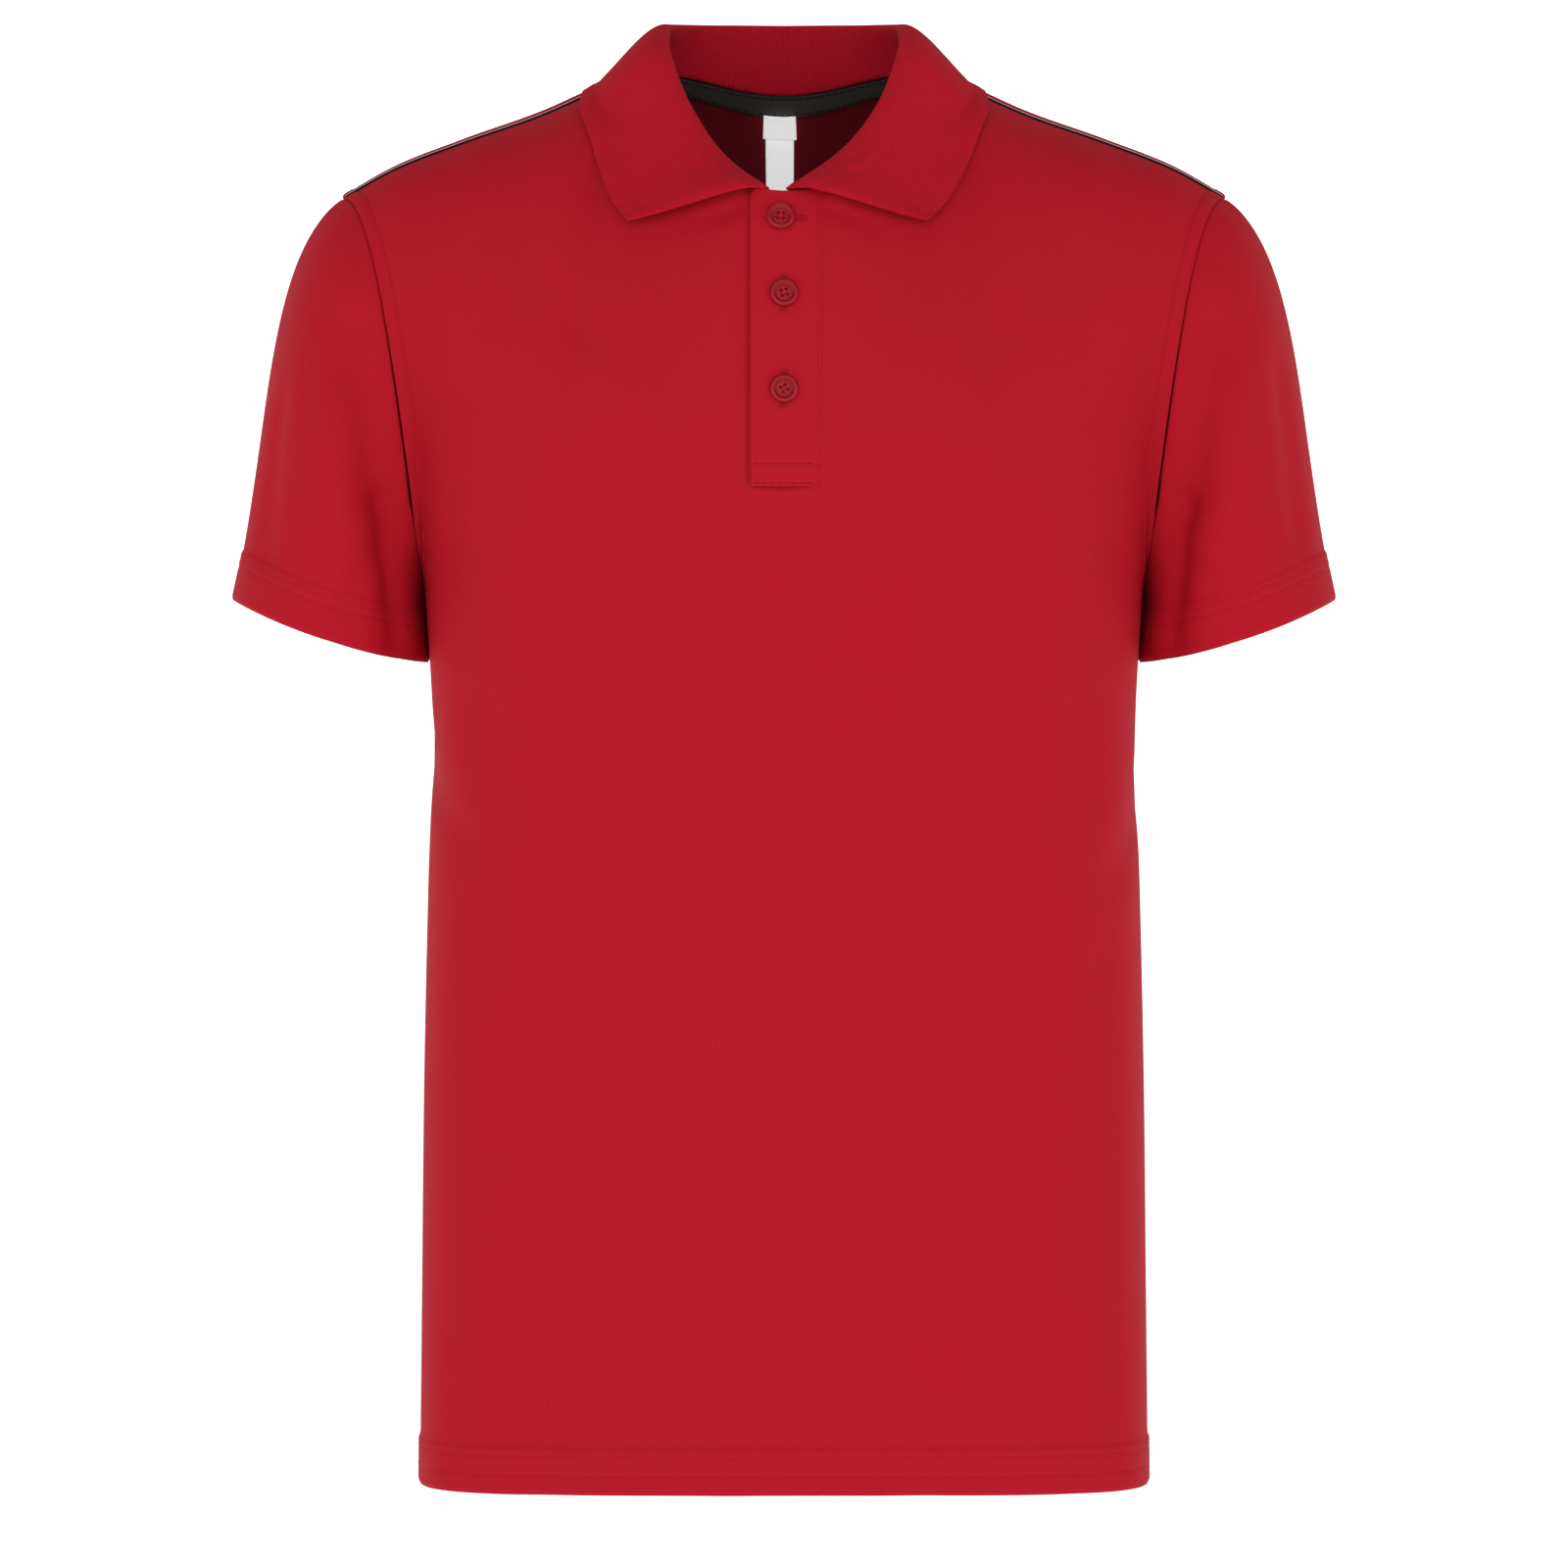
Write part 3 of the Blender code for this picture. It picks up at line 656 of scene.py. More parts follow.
@dataclass
class Sewing:
    """Rows of stitches, gathered into one piece."""

    name: str
    finish: Finishes = Finishes.SEWING
    slot: str = "jersey"
    stitch: float = 0.0021
    gap: float = 0.0006
    thread: float = 0.00016
    threads: list[Array] = field(default_factory=list)

    def row(self, points: Array, normals: Array) -> None:
        """Lays stitches along a line.

        Args:
            points: The line, on the cloth.
            normals: Which way the cloth faces at each point.
        """
        lengths = lengths_along(points)
        pitch = self.stitch + self.gap
        arch = np.array([-0.8, 0.7, 0.7, -0.8]) * self.thread
        for k in range(int(lengths[-1] / pitch)):
            at = k * pitch + np.array([0, 0.3, 0.7, 1]) * self.stitch
            up = on_line(at, lengths, normals)
            self.threads.append(on_line(at, lengths, points) + up * arch[:, None])

    def along(self, surface: Surface, us: Array, vs: Array) -> None:
        """Lays stitches on a surface, along pairs of shares."""
        self.row(surface.point(us, vs), surface.normal(us, vs))

    def piece(self, sides: int = 1) -> bpy.types.Object:
        """Adds all the threads as one piece of short round curves."""
        curve = round_threads(self.name, self.threads, self.thread, sides)
        return add_piece(self.name, curve, self.finish)


@dataclass
class Cut:
    """The sizes that the shirt's panels share: cloth, body rings, neckline and shoulder seam."""

    wall: float = 0.0012
    seam_gap: float = 0.0003
    underarm: float = -0.192
    rings: Table = Table(
        (
            # height, half width, front depth, back depth, squareness
            (-0.5215, 0.1339, 0.0883, 0.0785, 4.8),
            (-0.4500, 0.1336, 0.0884, 0.0790, 4.0),
            (-0.3700, 0.1331, 0.0886, 0.0790, 3.4),
            (-0.3000, 0.1318, 0.0892, 0.0790, 3.0),
            (-0.2450, 0.1303, 0.0905, 0.0805, 2.9),
            (-0.1920, 0.1333, 0.0920, 0.0840, 2.8),
        )
    )
    neck_half_width: float = 0.058
    neck_back: float = 0.050
    neck_front: float = 0.076
    neck_back_drop: float = 0.0026
    neck_side_rise: float = 0.0043
    neck_front_drop: float = 0.0522
    neck_front_shape: float = 1.3
    seam_angle: float = 96.0
    neck_share: float = 0.43
    shoulder: Table = Table(
        (
            # share, x, y, z of the shoulder seam, from the neck to the tip
            (0.00, 0.0577, -0.0080, -0.0030),
            (0.29, 0.0878, -0.0090, -0.0172),
            (0.58, 0.1195, -0.0090, -0.0284),
            (0.84, 0.1466, -0.0080, -0.0391),
            (1.00, 0.1640, -0.0040, -0.0485),
        )
    )
    front_columns: Table = Table(
        (
            # share, lower handle x, y, z, upper handle x, y, z
            (0.00, 0.000, 0.000, 0.050, 0.0000, -0.012, -0.0400),
            (0.20, 0.000, 0.000, 0.060, 0.0010, -0.024, -0.0380),
            (0.43, 0.000, 0.000, 0.080, 0.0020, -0.050, -0.0150),
            (0.70, 0.001, -0.002, 0.065, 0.0000, -0.060, -0.0150),
            (0.88, 0.001, -0.032, 0.040, -0.0090, -0.054, -0.0090),
            (1.00, 0.000, -0.060, 0.000, -0.0180, -0.056, 0.0000),
        )
    )
    back_columns: Table = Table(
        (
            # share, lower handle x, y, z, upper handle x, y, z
            (0.00, 0.000, 0.000, 0.085, 0.0000, 0.034, -0.0160),
            (0.20, 0.000, 0.000, 0.088, 0.0010, 0.040, -0.0080),
            (0.43, 0.000, 0.000, 0.090, 0.0020, 0.052, 0.0035),
            (0.70, 0.001, 0.002, 0.070, 0.0000, 0.060, 0.0015),
            (0.88, 0.001, 0.032, 0.042, -0.0090, 0.060, 0.0005),
            (1.00, 0.000, 0.060, 0.000, -0.0180, 0.064, 0.0000),
        )
    )

    @property
    def bottom(self) -> float:
        """The height of the bottom edge."""
        return self.rings.rows[0][0]

    def ring(self, q: Array, heights: Array, face: Face) -> Array:
        """Points of the body below the underarm.

        Args:
            q: Shares across the panel, from -1 to 1.
            heights: The heights of the rows.
            face: The panel.

        Returns:
            Points, a row for each height.
        """
        angles = np.linspace(0, math.pi / 2, 2001)
        rows = []
        for width, front, back, square in self.rings.at(heights):
            depth = front if face is Face.FRONT else back
            xs = width * np.sin(angles) ** (2 / square)
            ys = depth * np.cos(angles).clip(0) ** (2 / square)
            line = np.stack([xs, ys], axis=-1)
            lengths = lengths_along(line)
            x, y = on_line(abs(q) * lengths[-1], lengths, line).T
            rows.append(np.stack([np.sign(q) * x, face.value * y], axis=-1))
        levels = np.asarray(heights, float)[:, None, None]
        levels = np.broadcast_to(levels, (len(rows), len(q), 1))
        return np.concatenate([np.array(rows), levels], axis=-1)

    def neckline(self, degrees: Array) -> Array:
        """Points of the neck seam on the +X side: 0 at the back, 90 at the side, 180 in front."""
        a = np.radians(degrees)
        back, ahead = np.cos(a).clip(0), (-np.cos(a)).clip(0)
        y = self.neck_back * back - self.neck_front * ahead
        z = -self.neck_back_drop * back**2 - self.neck_front_drop * ahead**self.neck_front_shape
        z = z + self.neck_side_rise * np.where(degrees < 90, np.sin(2 * a) ** 2, 0)
        return np.stack([self.neck_half_width * np.sin(a), y, z], axis=-1)

    def panel_top(self, q: Array, face: Face) -> Array:
        """The upper edge of a body panel: the neckline, then the shoulder seam."""
        share = abs(q)
        along = (share / self.neck_share).clip(0, 1)
        back = self.seam_angle * along
        front = 180 - (180 - self.seam_angle) * along
        neck = self.neckline(front if face is Face.FRONT else back)
        seam = self.shoulder.at(((share - self.neck_share) / (1 - self.neck_share)).clip(0, 1))
        points = np.where((share <= self.neck_share)[:, None], neck, seam)
        points[:, 0] *= np.where(q < 0, -1, 1)
        return points

    def body(self, q: Array, t: Array, face: Face) -> Array:
        """Points of a body panel: t is -1 at the hem, 0 at the underarm and 1 at the top."""
        lower = self.ring(q, self.underarm + (self.underarm - self.bottom) * t[t <= 0], face)
        step = 0.002
        low, below = self.ring(q, np.array([self.underarm, self.underarm - step]), face)
        lean = (low - below) / step
        high = self.panel_top(q, face)
        columns = self.front_columns if face is Face.FRONT else self.back_columns
        handles = columns.at(abs(q))
        sign = np.where(q < 0, -1, 1)
        rise, reach = handles[:, :3].copy(), handles[:, 3:].copy()
        rise[:, 0] *= sign
        reach[:, 0] *= sign
        rise[:, :2] += lean[:, :2] * (rise[:, 2] * (1 - abs(q) ** 4))[:, None]
        upper = bezier(low, low + rise, high + reach, high, t[t > 0][:, None, None])
        return np.concatenate([lower, upper])

    def armhole(self, degrees: Array) -> Array:
        """Points of the armhole on the +X side: 0 at the tip, 90 in front, 180 at the underarm."""
        one = np.array([1.0])
        at = np.linspace(0, 180, 361)
        front = self.body(one, (1 - at / 180)[::-1], Face.FRONT)[::-1, 0]
        back = self.body(one, at / 180, Face.BACK)[:, 0]
        ring = np.concatenate([front, back[1:]])
        keys = np.concatenate([at, at[1:] + 180])
        return on_line(degrees % 360, keys, ring)


@dataclass(frozen=True)
class Hem:
    """A hem that is turned up and sewn with two rows, as relief on the cloth."""

    height: float
    step: float
    rows: tuple[float, float]
    row_dip: float
    row_half_width: float = 0.0008
    proud: float = 0.0007
    rounding: float = 0.0006
    rounding_half_width: float = 0.0009

    def relief(self, above: Array, ripple: Array) -> Array:
        """How far the cloth stands out at lengths above its edge, with a ripple in its rows."""
        out = self.proud * (1 - soft_step((above - self.height) / self.step))
        out -= self.rounding * bell(above, self.rounding_half_width)
        for row in self.rows:
            out -= self.row_dip * ripple * bell(above - row, self.row_half_width)
        return out


@dataclass
class BodyPanel:
    """The front or the back, with its hem, side seams and armhole seams.

    spread and climb are about the lengths that one share covers, across the panel and up it.
    """

    cut: Cut
    face: Face
    creases: tuple[Crease, ...]
    spread: float = 0.195
    climb: float = 0.33
    hem: Hem = Hem(height=0.0155, step=0.0022, rows=(0.0066, 0.0135), row_dip=0.00020)
    topstitch: float = 0.0050
    allowance: float = 0.0003
    seam_dip: float = 0.00032
    seam_half_width: float = 0.0008
    ridge: float = 0.0019
    ridge_drop: float = 0.0026
    ridge_half_width: float = 0.0022
    groove_x: float = -0.0126
    groove_foot: float = -0.1585
    groove_dip: float = 0.0007
    groove_half_width: float = 0.0007
    columns: int = 150
    columns_beside_slit: int = 70
    columns_in_slit: int = 8
    rows: tuple[int, int, int] = (29, 65, 72)
    flat: tuple[float, float] = (0.451, 0.546)
    flat_area: float = 0.183
    slit: tuple[float, float, float] | None = None

    def shares(self) -> tuple[Array, Array]:
        """The columns and rows of the panel's grid, closer at its edges and slit."""
        edge = 1 - self.cut.seam_gap / 3
        hem_end = -1 + 1.15 * self.hem.height / (self.cut.underarm - self.cut.bottom)
        in_hem, in_trunk, above = self.rows
        parts = [
            np.linspace(-1, hem_end, in_hem, endpoint=False),
            np.linspace(hem_end, 0, in_trunk, endpoint=False),
            1 - spaced(0, 1, above, 0.6)[::-1],
        ]
        rows = np.concatenate(parts)
        rows[-1] = 1 - self.cut.seam_gap / 0.5
        if self.slit is None:
            return spaced(-edge, edge, self.columns, 0.7), rows
        left, right, bottom = self.slit
        rows[np.argmin(abs(rows - bottom))] = bottom
        parts = [
            spaced(-edge, left, self.columns_beside_slit)[:-1],
            np.linspace(left, right, self.columns_in_slit, endpoint=False),
            spaced(right, edge, self.columns_beside_slit),
        ]
        return np.concatenate(parts), rows

    def make(self) -> None:
        """Works out the smooth surface, and the same with its hem and seams."""
        us, vs = self.shares()
        bare = Surface(us, vs, self.cut.body(us, vs, self.face), -float(self.face.value))
        self.smooth = bare.creased(self.creases)
        points, upper = self.smooth.points, vs > 0
        x, z = points[..., 0], points[..., 2]
        armhole = np.minimum(*(distances(points, points[upper][:, end]) for end in (0, -1)))
        side = (1 - abs(us))[None, :] * self.spread + np.where(upper, 1.0, 0.0)[:, None]
        off_seam = np.where(abs(us) > self.cut.neck_share, 0.0, 1.0)[None, :]
        shoulder = self.smooth.lengths(from_end=True) + off_seam
        ripple = np.sin(x * 1900) + np.sin(x * 1330 + 1.3)
        out = self.hem.relief(z - self.cut.bottom, 1 + 0.25 * ripple)
        for distance in (armhole, side, shoulder):
            out -= self.seam_dip * bell(distance, self.seam_half_width)
        out += self.allowance * (1 - soft_step((armhole - self.topstitch + 0.0006) / 0.0012))
        if self.face is Face.BACK:
            out += self.ridge * bell(shoulder - self.ridge_drop, self.ridge_half_width)
        if self.slit is not None:
            beside = soft_step((z - self.groove_foot) / 0.002)
            out -= self.groove_dip * beside * bell(x - self.groove_x, self.groove_half_width)
        dip = self.hem.row_dip * (1 + 0.3 * np.sin(z * 1700))
        out -= dip * bell(armhole - self.topstitch, self.hem.row_half_width)
        self.from_armhole, self.surface = armhole, self.smooth.moved(out)

    def kept(self, q: float, t: float) -> bool:
        """Whether the cloth is there: the slit for the placket is left out."""
        return self.slit is None or t < self.slit[2] or not self.slit[0] < q < self.slit[1]

    def sew(self, name: str) -> bpy.types.Object:
        """Adds the hem's two rows and the armholes' topstitching."""
        sewing = Sewing(name)
        us, vs = self.surface.us, self.surface.vs
        across = np.linspace(-0.995, 0.995, 400)
        drop = self.cut.underarm - self.cut.bottom
        for row in self.hem.rows:
            sewing.along(self.surface, across, np.full_like(across, -1 + row / drop))
        rows = np.flatnonzero((vs > 0.02) & (vs < 0.985))
        for columns in (slice(0, len(us) // 3), slice(-1, -len(us) // 3, -1)):
            reach, places = self.from_armhole[:, columns], us[columns]
            shares = [np.interp(self.topstitch, reach[j], places) for j in rows]
            sewing.along(self.surface, np.array(shares), vs[rows])
        return sewing.piece()

    def build(self, name: str, node: str) -> bpy.types.Object:
        """Adds the panel to the scene, with its sewing."""
        span = (self.spread, self.climb)
        shell = Shell(self.surface, self.cut.wall, keep=self.kept, span=span)
        cloth = shell.piece(name, Finishes.JERSEY, "jersey", (node,))
        stitches = self.sew(f"{node}_stitches")
        return cloth

    def shares_at(self, x: Array, height: Array) -> tuple[Array, Array]:
        """The shares of the panel's points with this x and height, near its middle."""
        q = x / self.spread
        for _ in range(3):
            low, high = np.zeros_like(x), np.ones_like(x)
            for _ in range(24):
                t = (low + high) / 2
                under = self.smooth.point(q, t)[..., 2] < height
                low, high = np.where(under, t, low), np.where(under, high, t)
            q = q + (x - self.smooth.point(q, t)[..., 0]) / self.spread
        return q, t


@dataclass
class Sleeve:
    """A set-in short sleeve, with its hem, drawn on the wearer's left and mirrored.

    degree is about the length that one degree covers round the sleeve at the underarm.
    """

    cut: Cut
    side: Side
    creases: tuple[Crease, ...]
    cuff_outer: tuple[float, float] = (0.2050, -0.1975)
    cuff_inner: tuple[float, float] = (0.1327, -0.2207)
    cuff_half_depth: float = 0.0475
    cuff_dip: float = 0.004
    handles: Table = Table(
        (
            # degrees from the top, handle at the armhole x, y, z, handle at the cuff x, y, z
            (0, 0.0300, 0.000, -0.0200, -0.0135, 0.000, 0.0560),
            (45, 0.0285, -0.010, -0.0220, -0.0105, -0.001, 0.0490),
            (90, 0.0210, -0.013, -0.0280, -0.0065, -0.003, 0.0400),
            (135, 0.0090, -0.006, -0.0200, -0.0040, -0.003, 0.0200),
            (180, -0.0003, 0.000, -0.0080, -0.0002, 0.000, 0.0100),
        )
    )
    hem: Hem = Hem(height=0.0172, step=0.002, rows=(0.0124, 0.0160), row_dip=0.0003)
    seam_dip: float = 0.00032
    seam_half_width: float = 0.0008
    underseam_dip: float = 0.0005
    underseam_half_width: float = 0.0011
    degree: float = 0.0007
    ease: float = 0.0003
    cap_half_width: float = 55.0
    around: int = 150
    hem_share: float = 0.80
    span: tuple[float, float] = (0.00074, 0.15)
    flat: tuple[float, float] = (0.383, 0.158)
    flat_area: float = 0.028

    def bare(self, degrees: Array, t: Array) -> Array:
        """Points of the sleeve from the armhole, at 0, to its hem, at 1."""
        turned = degrees % 360
        behind = turned > 180
        handles = self.handles.at(np.where(behind, 360 - turned, turned))
        first, last = handles[:, :3].copy(), handles[:, 3:].copy()
        for handle in (first, last):
            handle[:, 1] *= np.where(behind, -1, 1)
        start = self.cut.armhole(turned) - unit(first) * self.cut.seam_gap / 3
        a = np.radians(turned)
        outer, inner = np.array(self.cuff_outer), np.array(self.cuff_inner)
        along = (outer + inner) / 2 + (outer - inner) / 2 * np.cos(a)[:, None]
        depth = -self.cuff_half_depth * np.sin(a)
        end = np.stack([along[:, 0], depth, along[:, 1] - self.cuff_dip * np.sin(a) ** 2], axis=-1)
        return bezier(start, start + first, end + last, end, t[:, None, None])

    def make(self) -> None:
        """Works out the smooth surface, and the same with its hem and seams."""
        pad = 3
        around = np.linspace(0, 360, self.around + 1)
        beyond = around[1] * np.arange(1, pad + 1)
        degrees = np.concatenate([-beyond[::-1], around, 360 + beyond])
        rows = spaced(0, self.hem_share, 44, 0.5)[:-1], np.linspace(self.hem_share, 1, 34)
        vs = np.concatenate(rows)
        smooth = Surface(degrees, vs, self.bare(degrees, vs)).creased(self.creases)
        drop, rise = smooth.lengths(from_end=True), smooth.lengths(from_end=False)
        out = self.hem.relief(drop, 1 + 0.3 * np.sin(degrees * 1.9)[None, :])
        from_top = np.minimum(degrees % 360, 360 - degrees % 360)
        ease = self.ease * np.sin(degrees * 0.42)[None, :]
        ease = ease * bell(from_top, self.cap_half_width)[None, :] * bell(rise - 0.006, 0.006)
        out += ease - self.seam_dip * bell(rise, self.seam_half_width)
        from_underseam = abs(degrees - 180)[None, :] * self.degree
        out -= self.underseam_dip * bell(from_underseam, self.underseam_half_width)
        inside = slice(pad, -pad)
        points = smooth.moved(out).points[:, inside] * np.array([self.side.value, 1, 1])
        self.surface = Surface(around, vs, points, float(self.side.value))
        self.drop = drop[:, inside]

    def sew(self, name: str) -> bpy.types.Object:
        """Adds the hem's two rows round the sleeve."""
        sewing = Sewing(name)
        us, vs = self.surface.us, self.surface.vs
        for row in self.hem.rows:
            shares = [np.interp(-row, -column, vs) for column in self.drop.T]
            sewing.along(self.surface, us, np.array(shares))
        return sewing.piece()

    def build(self, name: str, node: str, hung_from: Sequence[bpy.types.Object]) -> None:
        """Adds the sleeve to the scene, with its sewing."""
        shell = Shell(self.surface, self.cut.wall, closed=True, span=self.span)
        cloth = shell.piece(name, Finishes.JERSEY, "jersey", (node,))
        stitches = (self.sew(f"{node}_stitches"),)


@dataclass
class Collar:
    """The folded strip of rib: a stand inside, the roll, and the leaf with its toothed ends."""

    cut: Cut
    wall: float = 0.0018
    roll_inside: float = 0.0018
    foot_inside: float = 0.0024
    foot_drop: float = 0.0020
    tip_lift: float = 0.0055
    band_half_width: float = 0.010
    leaf_spread: float = 0.35
    shift: float = -0.0023
    tooth: float = 0.0011
    tooth_depth: float = 0.00055
    strip: tuple[float, float] = (0.215, 0.038)
    edge_share: float = 0.55
    flat: tuple[float, float] = (0.434, 0.076)
    flat_area: float = 0.0247
    stations: Table = Table(
        (
            # share, neckline degrees, roll x, y, z, leaf edge x, y, z, lean, fullness of the roll
            (0.00, 0.0, 0.0000, 0.0460, 0.0208, 0.0000, 0.0720, -0.0205, 9.0, 0.0100),
            (0.14, 32.0, 0.0245, 0.0400, 0.0203, 0.0400, 0.0630, -0.0190, 12.0, 0.0100),
            (0.28, 62.0, 0.0390, 0.0230, 0.0182, 0.0650, 0.0400, -0.0150, 24.0, 0.0095),
            (0.42, 85.0, 0.0432, 0.0040, 0.0155, 0.0725, 0.0120, -0.0112, 32.0, 0.0088),
            (0.52, 98.0, 0.0434, -0.0130, 0.0108, 0.0738, -0.0120, -0.0116, 34.0, 0.0088),
            (0.62, 112.0, 0.0425, -0.0300, 0.0026, 0.0745, -0.0280, -0.0200, 34.0, 0.0090),
            (0.72, 125.0, 0.0360, -0.0450, -0.0159, 0.0710, -0.0410, -0.0300, 30.0, 0.0080),
            (0.80, 136.0, 0.0277, -0.0550, -0.0298, 0.0669, -0.0550, -0.0416, 26.0, 0.0070),
            (0.88, 147.0, 0.0198, -0.0630, -0.0391, 0.0613, -0.0670, -0.0537, 22.0, 0.0060),
            (0.95, 158.0, 0.0112, -0.0700, -0.0462, 0.0570, -0.0715, -0.0597, 20.0, 0.0052),
            (1.00, 167.0, 0.0033, -0.0755, -0.0514, 0.0544, -0.0745, -0.0624, 20.0, 0.0048),
        )
    )

    def bare(self, us: Array, ws: Array) -> Array:
        """Points of the collar's middle: w is -1 at the neck seam, 0 at the roll, 1 at the edge."""
        values = self.stations.at(abs(us))
        seam = self.cut.neckline(values[:, 0])
        roll, edge = values[:, 1:4], values[:, 4:7]
        outward = unit(seam * np.array([1, 1, 0]))
        foot = seam - outward * self.foot_inside - np.array([0, 0, self.foot_drop])
        stand = unit(roll - foot)
        lean = np.radians(values[:, 7:8])
        over = outward * np.cos(lean) + np.array([0, 0, 1]) * np.sin(lean)
        over = unit(over - stand * (over * stand).sum(axis=-1, keepdims=True))
        rise = np.linalg.norm(roll - foot, axis=-1, keepdims=True)
        w = ws[:, None, None]
        below = bezier(foot, foot + stand * rise / 2, roll - over * self.roll_inside, roll, 1 + w)
        fall = edge - (edge - roll) * self.leaf_spread
        above = bezier(roll, roll + over * values[:, 8:9], fall, edge, w)
        points = np.where(w <= 0, below, above)
        points[..., 0] *= np.where(us < 0, -1, 1)
        points[..., 0] += self.shift * soft_step((abs(us) - 0.7) / 0.3)
        return points

    def cleared(self, place: Vector, trees: Iterable[BVHTree], band_rise: float) -> Vector:
        """The place, moved off the body where it is too close, and further off the placket."""
        over_band = 1 - float(soft_step((abs(place.x) - self.band_half_width) / 0.012))
        clearance = self.wall / 2 + 3 * self.cut.seam_gap + band_rise * over_band
        for tree in trees:
            near, normal, _, gap = tree.find_nearest(place)
            height = (place - near).dot(normal)
            if height < clearance and gap < 0.02:
                beside = math.sqrt(max(gap * gap - height * height, 0.0))
                share = 1 - float(soft_step((beside - 0.0005) / 0.005))
                place = place + normal * (clearance - height) * share
        return place

    def make(self, front: BodyPanel, back: BodyPanel, band_rise: float) -> None:
        """Works out the collar, lying just off the body."""
        us = spaced(-1, 1, 150, 0.45)
        stand = np.linspace(-1, -0.12, 17, endpoint=False)
        roll = np.linspace(-0.12, 0.12, 12, endpoint=False)
        ws = np.concatenate([stand, roll, np.linspace(0.12, 1, 132)])
        points = self.bare(us, ws)
        lifted = soft_step((ws - 0.08) / 0.22) * (1 - soft_step((ws - 0.34) / 0.56))
        tip = soft_step((abs(us) - 0.88) / 0.12)[None, :] * lifted[:, None]
        points += tip[..., None] * self.tip_lift * np.array([0, -0.98, 0.18])
        trees = (front.smooth.tree(), back.smooth.tree())
        for j in np.flatnonzero(ws > 0.15):
            for i in range(len(us)):
                points[j, i] = self.cleared(Vector(points[j, i]), trees, band_rise)
        self.surface = Surface(us, ws, points)
        self.tooth_ends()

    def tooth_ends(self) -> None:
        """Cuts the small teeth into the leaf's two short ends."""
        points = self.surface.points
        lengths = self.surface.lengths(from_end=False)
        leaf = self.surface.vs > 0.2
        for edge, inner in ((0, 1), (-1, -2)):
            phase = (lengths[:, edge] / self.tooth) % 1.0
            reach = (1 - abs(2 * phase - 1)) * self.tooth_depth * leaf
            outward = unit(points[:, edge] - points[:, inner])
            points[:, edge] += outward * reach[:, None]

    def build(self, name: str, node: str, hung_from: Sequence[bpy.types.Object]) -> None:
        """Adds the collar to the scene."""
        us, ws = self.surface.us, self.surface.vs
        edge = np.minimum((1 - abs(us))[None, :] * self.strip[0], (1 - ws)[:, None] * self.strip[1])
        body = self.edge_share + (1 - self.edge_share) * soft_step(edge / 0.004)
        shell = Shell(self.surface, self.wall, offset=0.0, span=self.strip, body=body)
        collar = shell.piece(name, Finishes.RIB, "rib", (node,))


